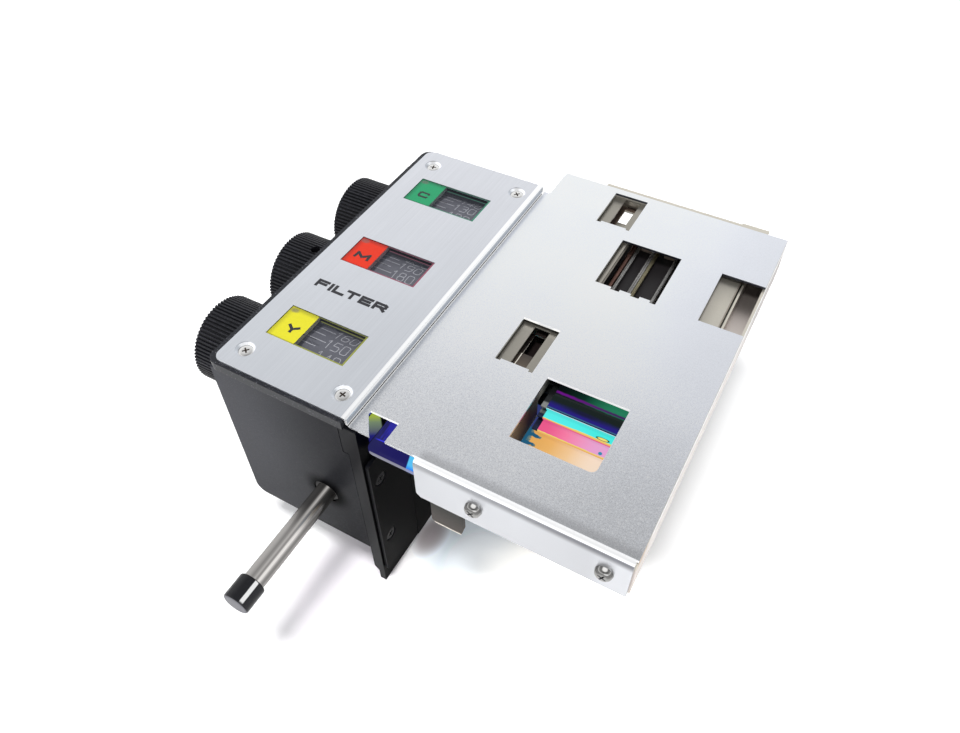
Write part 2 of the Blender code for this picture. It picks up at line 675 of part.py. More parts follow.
def make_chassis():
    """Nickel plated tray chassis: floor, walls, far step and hanging tab."""
    top = CHASSIS_TOP
    chassis = box("tray_chassis", (27.3, 0.0, -17.5), (99.5, 1.0, top))    # near wall
    weld(chassis, *boxes([
        ((27.3, 0.0, -22.3), (99.5, 1.0, -17.0)),           # near wall, lower strip
        ((99.4, 0.0, -22.0), (100.4, 160.5, top)),          # right wall
        ((5.6, 3.0, -17.5), (100.0, 108.0, -16.6)),         # floor
        ((27.3, 0.5, -17.5), (100.0, 4.0, -16.6)),          # floor, near strip
        ((5.6, 107.2, -17.5), (100.0, 108.0, -11.4)),       # step
        ((5.6, 107.2, -12.3), (100.0, 160.5, -11.4)),       # far floor
        ((22.8, 159.6, -12.3), (100.4, 160.5, top)),        # far wall
        ((22.8, 159.6, top - 0.9), (92.4, 162.0, top)),     # far lip
        ((81.4, 161.0, top - 0.9), (92.4, 162.8, top)),     # wider end of the lip
        ((5.6, 99.5, -17.5), (6.5, 160.5, top)),            # left wall
        ((31.0, 0.0, -37.4), (43.6, 1.0, -20.0)),           # hanging tab
        ((91.8, 90.0, -17.0), (92.6, 159.8, -6.4)),         # thin wall near the right edge
    ]))
    cut(chassis, *boxes([
        ((46.0, 17.0, -20), (80.0, 52.0, -15)),             # beam aperture
        ((31.5, 148.0, -15), (37.5, 157.0, -10)),           # sight hole
    ]))
    # (x, z) corners trimmed off the right and left of the hanging tab
    tab_right = [(42.0, -38.5), (45.0, -38.5), (45.0, -30.0), (43.3, -33.0), (42.6, -36.4)]
    tab_left = [(30.0, -38.5), (33.2, -38.5), (31.0, -35.8), (30.0, -35.8)]
    for points in (tab_right, tab_left):
        cut(chassis, outline("tab_corner", points, "xz", -3, 3))
    cover_holes = [(x, 0, COVER_SCREW_Z) for x in COVER_SCREW_XS]
    cut(chassis, *rods("y", cover_holes, 1.75, -3, 3, seg=24))
    side_holes = [(0, y, CHASSIS_SCREW_Z) for y in CHASSIS_SCREW_YS]
    cut(chassis, *rods("x", side_holes, 1.75, 3, 9, seg=24))
    finish(chassis, "nickel", FLAT)


def make_guide_plate():
    """Upper guide plate with two slots, a raised strip and a leg."""
    top = GUIDE_TOP
    plate = box("guide_plate", (9.0, 43.0, top - 0.7), (45.5, 158.6, top))
    cut(plate, *boxes([((33.3, 45.0, -9), (39.2, 70.7, -3)),
                       ((33.3, 131.5, -9), (39.8, 156.8, -3))]))
    weld(plate, *boxes([
        ((44.3, 96.0, top - 0.5), (45.2, 134.0, COVER_BOTTOM - 0.35)),
        ((9.0, 140.0, -11.1), (9.9, 158.6, top - 0.3)),     # leg over the far floor
    ]))
    finish(plate, "nickel", FLAT)


def make_edge_panel():
    panel = box("edge_panel", (70.0, 90.0, -6.3), (91.3, 158.6, GUIDE_TOP))
    weld(panel, box("leg", (70.0, 140.0, -11.1), (70.8, 158.6, -5.9)))
    finish(panel, "nickel", FLAT)


def make_well_wall():
    """Upright wall at the left of the beam aperture."""
    points = [(19.5, -16.3), (42.0, -16.3), (42.0, -7.6), (56.0, -7.6), (56.0, -4.5),
              (19.5, -4.5)]
    finish(outline("well_wall", points, "yz", 48.0, 48.7), "nickel", FLAT)


def make_heat_glass():
    glass = outline("heat_glass", round_rect(5.3, 1.35, 82.5, 56.0, 3.0, 5), "xy",
                    -16.25, -15.05)
    # clearance for the foot of the well wall
    cut(glass, box("notch", (47.7, 19.2, -18), (49.0, 42.3, -13)))
    finish(glass, "glass_heat")


def make_baffle():
    baffle = box("light_baffle", (40.5, 108.4, -11.1), (69.5, 139.0, -10.8))
    finish(baffle, "black_plate", FLAT)


def make_tray_springs():
    """Springs as plain tubes along Y."""
    y0, y1 = 108.7, 138.4
    inner, outer = 0.55, 1.15
    profile = [(inner, y1 - y0), (outer, y1 - y0), (outer, 0), (inner, 0)]
    for i, x in enumerate((46.9, 55.6, 64.7), 1):
        finish(turned(f"tray_spring_{i}", "y", (x, y0, -8.9), profile, seg=16),
               "spring_steel")


def make_chassis_screws():
    profile = [(0, 8.2), (1.6, 8.0), (2.5, 7.4), (2.5, 6.55), (1.4, 6.55), (1.4, 2.0),
               (0, 2.0)]
    for i, y in enumerate(CHASSIS_SCREW_YS, 1):
        finish(turned(f"chassis_screw_{i}", "x", (0, y, CHASSIS_SCREW_Z), profile, seg=20),
               "steel")


# ---- white light rod ----------------------------------------------------
def make_rod():
    push_rod = rod("rod", "y", ROD_CENTRE, ROD_R, ROD_Y0, ROD_Y1, seg=40, origin=ROD_CENTRE)
    chamfer(push_rod, 0.3)
    finish(push_rod, "steel")


def make_rod_cap():
    bore = ROD_R + 0.05
    profile = [(bore, 9.6), (4.8, 9.6), (5.1, 9.2), (5.1, 0.7), (4.8, 0.25), (4.3, 0.0),
               (0, 0), (0, 2.2), (bore, 2.2)]
    finish(turned("rod_cap", "y", (ROD_X, -52.0, ROD_Z), profile), "black_gloss")


def make_rod_bush():
    """Bush in the near wall of the box, flanged on the inside."""
    bore = ROD_R + 0.07
    profile = [(bore, 9.0), (6.8, 9.0), (6.8, 1.45), (5.15, 1.45), (5.15, 0.0), (bore, 0.0)]
    bush = turned("rod_bush", "y", (ROD_X, BOX_Y0 + 0.4, ROD_Z), profile, seg=40)
    finish(bush, "black_plate")


def make_push_bar():
    """Bar at the far end of the rod, with an upright at its right end."""
    y0, y1 = BAR_Y
    bar = box("push_bar", (-21.5, y0, BAR_Z0), (BAR_X1, y1, -50.4))
    weld(bar, box("upright", (-4.2, y0, BAR_Z0), (BAR_X1, y1, -8.3)))
    finish(bar, "steel", FLAT)


def make_rack_rest():
    top = RACK_TIP_Z - 0.35
    finish(box("rack_rest", (-12.6, 101.5, top - 1.6), (-0.05, 104.0, top)), "brass", FLAT)


# ---- build --------------------------------------------------------------
make_materials()
make_housing()
make_rim()
make_escutcheon()
make_escutcheon_screws()
make_windows()
for channel_key, channel_data in CHANNELS.items():
    for make_part in (make_knob, make_grub_screw, make_shaft, make_drum, make_pinion,
                      make_rack, make_slider, make_pane):
        make_part(channel_key, channel_data)
make_side_plate()
make_doubler()
make_cover()
make_cover_screws()
make_chassis()
make_guide_plate()
make_edge_panel()
make_well_wall()
make_heat_glass()
make_baffle()
make_tray_springs()
make_chassis_screws()
make_rod()
make_rod_cap()
make_rod_bush()
make_push_bar()
make_rack_rest()
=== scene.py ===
"""Colour filter module of an enlarger head.

The CAD pieces keep their shape and get rounded edges and procedural finishes.
The drums gain numerals, the tray coil springs and the screws cross recesses.

X runs right across the dials towards the filter tray, Y away from the front
and Z up.  Working sizes are millimetres from a corner point at the right near
top of the escutcheon; the frame itself is in metres.
"""
import json
import math
from collections import namedtuple
from functools import cached_property

import bmesh
import bpy
from mathutils import Matrix, Vector


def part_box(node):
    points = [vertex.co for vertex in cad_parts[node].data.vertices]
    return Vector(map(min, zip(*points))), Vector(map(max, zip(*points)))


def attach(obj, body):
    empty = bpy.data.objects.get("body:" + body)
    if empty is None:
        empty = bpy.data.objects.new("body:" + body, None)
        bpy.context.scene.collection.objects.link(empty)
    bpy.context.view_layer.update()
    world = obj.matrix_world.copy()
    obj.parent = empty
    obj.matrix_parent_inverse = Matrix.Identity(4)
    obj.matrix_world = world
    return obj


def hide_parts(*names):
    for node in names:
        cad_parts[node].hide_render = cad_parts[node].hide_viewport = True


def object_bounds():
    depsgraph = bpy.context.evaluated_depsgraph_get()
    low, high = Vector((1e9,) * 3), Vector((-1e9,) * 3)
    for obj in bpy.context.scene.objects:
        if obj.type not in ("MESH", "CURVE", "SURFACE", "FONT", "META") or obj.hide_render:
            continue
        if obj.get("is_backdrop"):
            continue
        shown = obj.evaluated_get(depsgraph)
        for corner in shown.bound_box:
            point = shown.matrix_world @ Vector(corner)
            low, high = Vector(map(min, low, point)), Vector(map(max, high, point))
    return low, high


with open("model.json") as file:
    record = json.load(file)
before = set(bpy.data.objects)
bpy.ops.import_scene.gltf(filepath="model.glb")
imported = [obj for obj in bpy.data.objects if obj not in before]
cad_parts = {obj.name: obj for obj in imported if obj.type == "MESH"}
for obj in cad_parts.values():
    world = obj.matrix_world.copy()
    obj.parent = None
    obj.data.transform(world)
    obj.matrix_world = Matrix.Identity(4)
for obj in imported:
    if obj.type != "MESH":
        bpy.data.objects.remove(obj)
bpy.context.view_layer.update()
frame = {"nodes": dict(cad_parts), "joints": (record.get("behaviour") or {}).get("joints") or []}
NODES = frame["nodes"]

# ---- working frame -------------------------------------------------------
CORNER_INSET = 0.0015                      # metres, from the escutcheon's right edge
escutcheon_low, escutcheon_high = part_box("escutcheon")
CORNER = Vector((escutcheon_high.x - CORNER_INSET, escutcheon_low.y, escutcheon_high.z))


def to_frame(x, y, z):
    """Working millimetres to the frame's metres."""
    return CORNER + Vector((x, y, z)) / 1000.0


def box_mm(node):
    """Low and high corners of a CAD node in working millimetres."""
    low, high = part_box(node)
    return (low - CORNER) * 1000.0, (high - CORNER) * 1000.0


def centre_mm(node):
    low, high = box_mm(node)
    return [(a + b) / 2 for a, b in zip(low, high)]


# ---- dials ---------------------------------------------------------------
DIALS = {"c": "cyan", "m": "magenta", "y": "yellow"}
DENSITY_RANGE = 200.0                      # full scale of a dial
drum_low, drum_high = box_mm("drum_m")
DRUM_RADIUS = (drum_high.z - drum_low.z) / 2
SHAFT_Y, SHAFT_Z = {}, {}
DEGREES, READING = {}, {}                  # degrees per unit, reading at rest
joints = {joint["name"]: joint for joint in frame["joints"]}
for key, colour in DIALS.items():
    _, SHAFT_Y[key], SHAFT_Z[key] = centre_mm("shaft_" + key)
    first, last = joints[colour + "_knob_turn"]["range_deg"]
    DEGREES[key] = (last - first) / DENSITY_RANGE
    READING[key] = -first / DEGREES[key]

# ---- shader building -----------------------------------------------------
WHITE = (1.0, 1.0, 1.0)
Axes = namedtuple("Axes", "x y z")


def srgb(*channels):
    """8-bit display colour to linear."""
    scaled = [channel / 255.0 for channel in channels]
    return tuple(v / 12.92 if v <= 0.04045 else ((v + 0.055) / 1.055) ** 2.4 for v in scaled)


class Value:
    """A shader output; arithmetic on it adds Math nodes."""

    def __init__(self, nodes, socket):
        self.nodes = nodes
        self.socket = socket

    def __add__(self, other):
        return self.nodes.math("ADD", self, other)

    def __sub__(self, other):
        return self.nodes.math("SUBTRACT", self, other)

    def __mul__(self, other):
        return self.nodes.math("MULTIPLY", self, other)

    def __truediv__(self, other):
        return self.nodes.math("DIVIDE", self, other)

    def maximum(self, other):
        return self.nodes.math("MAXIMUM", self, other)

    def scaled(self, factor, offset):
        """This value times factor, plus offset."""
        return self.nodes.math("MULTIPLY_ADD", self, factor, offset)

    def step(self, start, end, low=0.0, high=1.0):
        """Smooth run from low at start to high at end; start may be the larger."""
        if start > end:
            start, end, low, high = end, start, high, low
        return self.nodes.value("MapRange", self, interpolation_type="SMOOTHSTEP",
                                From_Min=start, From_Max=end, To_Min=low, To_Max=high)

    def band(self, start, end, soft):
        """1 between start and end, softened at both."""
        return self.step(start - soft, start + soft) * self.step(end + soft, end - soft)

    def vary(self, amount):
        """Noise to a factor that swings around 1."""
        return (self - 0.5).scaled(amount * 2, 1.0)

    def wobble(self, amount, shift=0.0):
        """A coordinate given a slightly ragged course."""
        noise = self.nodes.noise(0.55, detail=3.0, rough=0.6, shift=shift)
        return self + (noise - 0.5) * amount


class Nodes:
    """Builds the node tree of a material or a world."""

    def __init__(self, owner, output):
        owner.use_nodes = True
        self.tree = owner.node_tree
        self.tree.nodes.clear()
        self.output = self.node(output)

    def put(self, socket, value):
        """Links a Value, or sets a plain one; None leaves the socket alone."""
        if isinstance(value, Value):
            self.tree.links.new(value.socket, socket)
        elif value is not None:
            socket.default_value = (*value, 1.0) if socket.type == "RGBA" else value

    def node(self, kind, *inputs, **named):
        """Inputs go in order; lower-case names are settings, other names are inputs."""
        made = self.tree.nodes.new("ShaderNode" + kind)
        for name, value in named.items():
            if name.islower():
                setattr(made, name, value)
        for socket, value in zip(made.inputs, inputs):
            self.put(socket, value)
        for name, value in named.items():
            if not name.islower():
                self.put(made.inputs[name.replace("_", " ")], value)
        return made

    def value(self, kind, *inputs, output=0, **named):
        """One output of a new node."""
        return Value(self, self.node(kind, *inputs, **named).outputs[output])

    def split(self, vector):
        return Axes(*[Value(self, part) for part in self.node("SeparateXYZ", vector).outputs])

    def math(self, operation, *inputs):
        return self.value("Math", *inputs, operation=operation)

    def mix(self, factor, first, second, mode="MIX"):
        """Colour mix; the colours are the node's inputs 6 and 7."""
        return self.value("Mix", factor, *[None] * 5, first, second, output=2,
                          data_type="RGBA", blend_type=mode)

    def ramp(self, factor, stops):
        """Colour ramp from rising (position, colour) stops."""
        made = self.node("ValToRGB", factor)
        elements = made.color_ramp.elements
        elements.remove(elements[1])
        for i, (position, color) in enumerate(stops):
            element = elements.new(position) if i else elements[0]
            element.position = position
            element.color = (*color, 1.0)
        return Value(self, made.outputs[0])

    def shade(self, color, *factors):
        """Colour times the product of the factors."""
        product = factors[0]
        for factor in factors[1:]:
            product = product * factor
        return self.value("VectorMath", color, operation="SCALE", Scale=product)


class Finish(Nodes):
    """A material whose textures are measured in working millimetres."""

    def __init__(self, name):
        self.material = bpy.data.materials.new(name)
        super().__init__(self.material, "OutputMaterial")
        offset = self.value("VectorMath", self.value("TexCoord", output="Object"), CORNER,
                            operation="SUBTRACT")
        self.place = self.shade(offset, 1000.0)
        self.relief = None

    @cached_property
    def axes(self):
        return self.split(self.place)

    x = property(lambda self: self.axes.x)
    y = property(lambda self: self.axes.y)
    z = property(lambda self: self.axes.z)

    def face_normal(self):
        return self.split(self.value("NewGeometry", output="True Normal"))

    @cached_property
    def normal(self):
        return self.face_normal()

    def mirror(self):
        """Components of the mirrored view ray."""
        return self.split(self.value("TexCoord", output="Reflection"))

    def mirror_angle(self):
        """Degrees of the mirrored ray about Y, from +X towards +Z."""
        ray = self.mirror()
        return self.math("ARCTAN2", ray.z, ray.x) * (180.0 / math.pi)

    def noise(self, scale, detail=3.0, rough=0.55, shift=0.0):
        """Noise per millimetre; scale is one number or one for each axis."""
        if not isinstance(scale, tuple):
            scale = (scale, scale, scale)
        place = self.value("Mapping", self.place, Scale=scale,
                           Location=(shift * 7.3, shift * 3.1, shift * 5.7))
        return self.value("TexNoise", output="Fac", Vector=place, Scale=1.0, Detail=detail,
                          Roughness=rough)

    def cells(self, scale, output):
        place = self.value("Mapping", self.place, Scale=(scale, scale, scale))
        return self.value("TexVoronoi", output=output, Vector=place, Scale=1.0)

    def flecks(self, scale, start, end):
        """Cells picked out by their random value."""
        return self.split(self.cells(scale, "Color")).x.step(start, end)

    def edge_wear(self, start, end):
        return self.value("NewGeometry", output="Pointiness").step(start, end)

    def greys(self, value, low, high, stops):
        """Ramp of 8-bit display greys over a value running from low to high."""
        return self.ramp((value - low) / (high - low),
                         [((at - low) / (high - low), srgb(grey, grey, grey))
                          for at, grey in stops])

    def bump(self, height, strength, depth):
        """Adds relief; depth is in millimetres."""
        self.relief = self.value("Bump", Strength=strength, Distance=depth / 1000.0,
                                 Height=height, Normal=self.relief)

    def behind(self, color, factor):
        """Painted shade: upper faces a little darker where they are seen from the rear."""
        facing = self.normal.z.step(0.75, 0.95) * self.mirror().y.step(-0.05, -0.30)
        return self.mix(facing, color, self.shade(color, factor))

    def finish(self, shader):
        self.put(self.output.inputs["Surface"], shader)
        return self.material

    def surface(self, color, rough, metal=0.0, **inputs):
        return self.finish(self.value("BsdfPrincipled", Base_Color=color, Roughness=rough,
                                      Metallic=metal, Normal=self.relief, **inputs))

    def polished(self, color, rough, reflection, share):
        """Metal covered to the given share by a painted reflection."""
        metal = self.value("BsdfPrincipled", Base_Color=color, Roughness=rough,
                           Metallic=1.0, Normal=self.relief)
        glow = self.value("Emission", Color=reflection, Strength=1.0)
        return self.finish(self.value("MixShader", share, metal, glow))


def ellipse(x, y, centre, radii):
    """Squared distance from a centre, 1 on the ellipse."""
    across = (x - centre[0]) / radii[0]
    along = (y - centre[1]) / radii[1]
    return across * across + along * along


# ---- sheet metal finishes ------------------------------------------------
def brushed_aluminium():
    """Escutcheon: hairlines along Y and soft cloudy handling marks."""
    mat = Finish("alu_brushed")
    hair = mat.noise((5.0, 0.035, 5.0), detail=4.0, rough=0.7)
    broad_hair = mat.noise((1.3, 0.02, 1.3), detail=2.0, rough=0.5, shift=2.0)
    cloud = mat.noise((0.045, 0.03, 0.05), detail=2.0, rough=0.5, shift=1.0)
    color = mat.mix(mat.y.step(0.0, 141.0), (0.770, 0.797, 0.845), (0.800, 0.815, 0.862))
    color = mat.shade(color, hair.vary(0.085), broad_hair.vary(0.06), cloud.vary(0.05))
    streaks = mat.noise((3.0, 0.012, 3.0), detail=1.0, rough=0.4, shift=5.0)
    scratches = streaks.step(0.69, 0.73)
    color = mat.mix(scratches * 0.25, color, (0.95, 0.96, 0.98))
    specks = mat.cells(0.055, "Distance").step(0.020, 0.010)
    color = mat.mix(specks * 0.8, color, (0.05, 0.05, 0.06))
    # painted highlight on the rolled edge beside the tray, painted shade on its outer side with a
    # painted highlight line at its foot
    face = mat.normal
    edge = mat.x.step(-0.85, -0.50)
    color = mat.mix(edge * 0.85, color, WHITE)
    lip_noise = mat.noise((0.05, 0.01, 1.8), detail=2.0, rough=0.6, shift=4.0)
    painted_lip_light = mat.shade((0.50, 0.53, 0.57), lip_noise.vary(0.35))
    painted_lip_light = mat.mix(mat.z.step(-2.15, -2.35), painted_lip_light, WHITE)
    color = mat.mix(face.x.step(0.35, 0.75), color, painted_lip_light)
    mat.bump(hair, strength=0.25, depth=0.02)
    # painted highlight: the rolled edge glows where it faces up
    painted_glint = edge * face.z.step(0.2, 0.8)
    # painted highlight: the countersinks glow on the far side only
    countersink_glint = face.z.band(0.35, 0.97, soft=0.02) * mat.x.step(-2.0, -4.0)
    countersink_glint = countersink_glint * mat.z.step(-0.16, -0.24)
    painted_glint = painted_glint.maximum(countersink_glint * face.y.step(0.1, -0.35, low=0.0, high=2.2))
    return mat.surface(mat.behind(color, 0.86), rough=broad_hair.scaled(0.08, 0.29), metal=1.0,
                       Emission_Color=WHITE, Emission_Strength=painted_glint * 0.22)


def sparkle_lacquer():
    """Tray cover: fine sparkle lacquer on aluminium sheet."""
    mat = Finish("alu_spark")
    grain = mat.noise(4.6, detail=1.0, rough=0.5)
    coarse = mat.noise(1.6, detail=1.0, rough=0.5, shift=3.0)
    cloud = mat.noise(0.03, detail=2.0, rough=0.5, shift=1.0)
    flake = mat.flecks(2.6, 0.90, 0.99)
    # the grain shows on the upper face, most towards the front
    top = mat.face_normal().z.step(0.75, 0.95)
    amount = top * mat.y.step(95.0, 8.0, low=0.20, high=1.0)
    grain_factor = (grain - 0.5).scaled(amount * 1.15, 1.0)
    coarse_factor = (coarse - 0.5).scaled(amount * 0.30, 1.0)
    color = mat.mix(mat.y.step(5.0, 62.0), (0.825, 0.840, 0.875), (0.965, 0.990, 1.055))
    color = mat.shade(color, grain_factor, coarse_factor, cloud.vary(0.05),
                      mat.x.step(58.0, 100.0, low=1.0, high=0.89))
    color = mat.mix(flake * amount * 0.6, color, WHITE)
    face = mat.normal
    # painted highlight on the left edge, then painted shade on the band the escutcheon's rolled
    # edge shades
    on_top = face.z.step(0.75, 0.95)
    shaded = on_top * mat.x.step(4.2, 2.6)
    color = mat.mix(shaded * 0.22, color, (0.30, 0.32, 0.35))
    color = mat.mix(on_top * mat.x.step(2.25, 2.05), color, WHITE)
    # cut edges facing the front: painted highlight, but painted shade at the rear
    cut = face.y.step(-0.5, -0.8) * mat.y.step(0.8, 1.8)
    rear_cut_shade = cut * mat.y.step(74.0, 78.0)
    cut = cut * mat.y.step(78.0, 74.0)
    color = mat.mix(cut, color, WHITE)
    color = mat.mix(rear_cut_shade, color, (0.10, 0.11, 0.14))

    def front_face():
        return face.y.step(-0.5, -0.8) * mat.y.step(1.6, 0.8)

    # painted shade: the front face darker left of its right end
    color = mat.mix(front_face() * mat.x.step(94.0, 86.0), color, mat.shade(color, 0.84))
    # painted highlight along the bend of the front edge, painted shade under and above it
    bend_highlight = mat.y.step(0.85, 0.50) * mat.z.step(-4.2, -3.9)
    bend_highlight = bend_highlight * mat.x.step(25.0, 27.0)
    under = front_face() * (mat.z.step(-3.9, -4.3) * mat.z.step(-7.6, -4.6))
    color = mat.mix(under * mat.x.step(27.0, 96.0, low=0.55, high=0.85), color,
                    (0.16, 0.16, 0.18))
    above = face.z.step(0.5, 0.8) * mat.y.step(5.5, 1.8) * mat.x.step(26.0, 30.0)
    color = mat.mix(above * 0.42, color, (0.34, 0.34, 0.35))
    # painted highlights: the cut edges and the bend glow
    glow = cut.maximum(bend_highlight * 0.80)
    # painted shade on the right side faces
    right = face.x.step(0.5, 0.8) * mat.x.step(92.0, 96.0)
    color = mat.mix(right * 0.35, color, (0.12, 0.11, 0.10))
    color = mat.behind(color, 0.80)
    mat.bump(grain, strength=0.20, depth=0.03)
    return mat.surface(color, rough=amount.scaled(0.08, 0.32), metal=1.0,
                       Emission_Color=WHITE, Emission_Strength=glow * 0.80)


def nickel(name, brightness, tone=None):
    """Yellowish nickel plate; brightness scales it, as painted shade for plates deep in the tray,
    and tone(mat, color) adds a piece's own colour and painted shade.
    """
    mat = Finish(name)
    cloud = mat.noise((0.05, 0.04, 0.05), rough=0.5)
    fine = mat.noise(1.2, rough=0.6, shift=1.0)
    hair = mat.noise((0.05, 2.6, 0.05), detail=2.0, rough=0.6, shift=2.0)
    color = mat.mix(cloud, (0.66, 0.62, 0.53), (0.80, 0.76, 0.68))
    color = mat.shade(color, fine.vary(0.06), hair.vary(0.05), brightness)
    if tone:
        color = tone(mat, color)
    mat.bump(hair, strength=0.12, depth=0.02)
    return mat.surface(color, rough=fine.scaled(0.10, 0.30), metal=0.85)


def edge_tone(mat, color):
    """Strip by the channel: painted shade at the far end, right side and left end."""
    color = mat.shade(color, mat.y.step(112.0, 128.0, low=1.0, high=0.72))
    right_x = box_mm("edge_panel")[1].x
    side = mat.normal.x.step(0.4, 0.8).maximum(mat.x.step(right_x - 0.7, right_x - 0.3))
    color = mat.mix(side * 0.75, color, (0.25, 0.21, 0.17))
    left = mat.x.step(89.0, 84.0)
    return mat.mix(left * 0.35, color, (0.30, 0.28, 0.25))


def chassis_tone(mat, color):
    """Plated body: pale outer wall, painted shade on the tab under the tray with a
    painted highlight along its foot, mauve channel floor.
    """
    base_z = box_mm("tray_chassis")[0].z
    outer = mat.normal.x.step(0.5, 0.85) * mat.x.step(97.0, 99.0)
    color = mat.mix(outer * mat.y.step(6.0, 16.0), color, (0.95, 0.95, 0.94))
    color = mat.mix(outer * mat.y.step(12.0, 4.0), color, (0.62, 0.46, 0.30))
    # painted shade on the tab under the tray, darkest at its top
    tab = mat.z.step(-19.5, -20.5) * mat.x.step(62.0, 58.0)
    tab_shade = mat.mix(mat.z.step(-22.5, base_z + 1.0), (0.012, 0.012, 0.010),
                      (0.060, 0.050, 0.042))
    color = mat.mix(tab, color, tab_shade)
    # painted highlight along the tab's lower edge
    rim = tab * mat.z.step(base_z + 0.9, base_z + 0.5)
    color = mat.mix(rim, color, (0.85, 0.80, 0.70))
    channel = mat.x.step(91.5, 93.0) * mat.z.step(-7.0, -9.0)
    mauve = mat.mix(mat.y.step(128.0, 98.0), (0.40, 0.35, 0.33), (0.74, 0.67, 0.63))
    return mat.mix(channel * 0.9, color, mauve)


# ---- dark finishes -------------------------------------------------------
def paint(name, color, rough, grain_mm=0.35, strength=0.35, specular=0.5, fleck=0.0,
          shadow=None):
    """Stoved texture paint; shadow(mat) gives a factor that darkens it."""
    mat = Finish(name)
    scale = 1.0 / grain_mm
    grain = mat.noise(scale, rough=0.6)
    coarse = mat.noise(scale * 0.35, detail=2.0, rough=0.5, shift=2.0)
    cloud = mat.noise(0.03, detail=2.0, rough=0.5, shift=3.0)
    color = mat.shade(color, grain.vary(0.22), coarse.vary(0.10), cloud.vary(0.08))
    if fleck:
        color = mat.mix(mat.flecks(scale * 1.3, 0.93, 1.0) * fleck, color, (0.35, 0.35, 0.38))
    rubbed = mat.edge_wear(0.535, 0.60) * coarse.step(0.45, 0.62)
    color = mat.mix(rubbed * 0.25, color, (0.20, 0.20, 0.22))
    light = shadow(mat) if shadow else 1.0
    mat.bump(grain, strength=strength, depth=0.05)
    return mat.surface(mat.shade(color, light), rough=coarse.scaled(0.12, rough - 0.06),
                       Specular_IOR_Level=mat.math("MULTIPLY", light, specular))


def housing_shadow(mat):
    """Painted shade: darker to the right and below, and round the rod's bore."""
    bore_x, bore_z, radius = -15.3, -53.0, 12.0
    light = mat.x.step(-52.0, -4.0, low=1.0, high=0.32)
    light = light * mat.z.step(-30.0, -95.0, low=1.0, high=0.62)
    across = mat.x - bore_x
    rise = mat.z - bore_z
    distance = mat.math("SQRT", across * across + rise * rise)
    bore_shade = distance.step(radius * 0.40, radius, low=0.12, high=1.0)
    return light * bore_shade.maximum(mat.y.step(15.0, 45.0))


def well_brown():
    """Well wall: dull brown as painted shade in the well, with paler bands along Y."""
    mat = Finish("wall_brown")
    grain = mat.noise((0.5, 2.0, 0.5), rough=0.6)
    color = mat.ramp((mat.y - 19.0) / 37.0, [
        (0.0, srgb(170, 160, 142)), (0.12, srgb(128, 116, 102)), (0.28, srgb(84, 72, 62)),
        (0.45, srgb(48, 38, 34)), (0.58, srgb(66, 60, 56)), (0.68, srgb(128, 128, 122)),
        (0.76, srgb(84, 86, 82)), (0.86, srgb(36, 38, 38)), (1.0, srgb(18, 18, 20))])
    color = mat.shade(color, grain.vary(0.25), 0.8)
    return mat.surface(color, rough=0.5, Specular_IOR_Level=0.12)


def deep_brown():
    """Painted shade for the interior deep in the slots: brown, darkest between the two slots."""
    mat = Finish("deep_brown")
    grain = mat.noise(0.4, rough=0.6)
    color = mat.mix(mat.y.step(50.0, 64.0), srgb(100, 88, 74), srgb(34, 28, 27))
    color = mat.mix(mat.y.step(120.0, 140.0), color, srgb(92, 78, 70))
    color = mat.shade(color, grain.vary(0.3), 0.9)
    return mat.surface(color, rough=0.55, Specular_IOR_Level=0.15)


def slider_bar():
    """Slider bars: silver, blue and dark along Y, brown and dark at the left."""
    mat = Finish("slider_bar")
    hair = mat.noise((0.05, 3.0, 3.0), rough=0.6)
    color = mat.mix(mat.y.step(43.6, 42.8), (0.022, 0.024, 0.026), (0.30, 0.31, 0.30))
    color = mat.mix(mat.y.step(40.6, 39.8), color, (0.035, 0.045, 0.10))
    # under the near slot: brown, darker towards the far end, with one pale line along it
    arm = mat.x.step(45.0, 44.0)
    brown = mat.mix(mat.y.step(50.0, 62.0), (0.105, 0.083, 0.062), (0.030, 0.024, 0.022))
    brown = mat.mix(mat.x.band(33.80, 34.10, soft=0.06), brown, (0.75, 0.72, 0.64))
    color = mat.shade(mat.mix(arm, color, brown), hair.vary(0.2))
    return mat.surface(color, rough=arm.scaled(0.2, 0.32), metal=arm.scaled(-0.6, 0.7))


def black_plate():
    """Smooth black plate, its right face in painted shade; beside the notch a painted reflection
    of the coated glass.
    """
    mat = Finish("plate_black")
    grain = mat.noise(2.4, rough=0.5)
    cloud = mat.noise(0.06, detail=2.0, rough=0.5, shift=3.0)
    # painted shade: the right face darker
    side = mat.normal.x.step(0.5, 0.9)
    light = side.scaled(-0.80, 1.0)
    color = mat.shade((0.0050, 0.0052, 0.0070), grain.vary(0.16), cloud.vary(0.10), light)
    # painted reflection: glass mirrored in the upper near corner of the right face
    window = side * (mat.y.step(13.0, 12.0) * mat.y.step(4.6, 5.6) * mat.z.step(-16.2, -15.6))
    diagonal = (mat.z + 15.5) * 0.9 + mat.y * 1.0
    tint = mat.ramp(diagonal / 22.0, [
        (0.0, srgb(24, 22, 80)), (0.36, srgb(34, 34, 120)), (0.46, srgb(90, 98, 110)),
        (0.66, srgb(120, 140, 110)), (0.80, srgb(165, 185, 66)), (1.0, srgb(150, 168, 70))])
    mat.bump(grain, strength=0.05, depth=0.03)
    return mat.surface(color, rough=0.40, Specular_IOR_Level=light * 0.10,
                       Emission_Color=tint, Emission_Strength=window * 0.9)


def moulded_black():
    mat = Finish("moulded_black")
    grain = mat.noise(2.2, rough=0.6)
    cloud = mat.noise(0.08, detail=2.0, rough=0.5, shift=1.0)
    color = mat.shade((0.0080, 0.0083, 0.0105), grain.vary(0.25), cloud.vary(0.18))
    worn = mat.edge_wear(0.53, 0.60) * grain.step(0.42, 0.6)
    color = mat.mix(worn * 0.30, color, (0.10, 0.10, 0.12))
    mat.bump(grain, strength=0.12, depth=0.03)
    return mat.surface(color, rough=cloud.scaled(0.14, 0.36), Specular_IOR_Level=0.22)


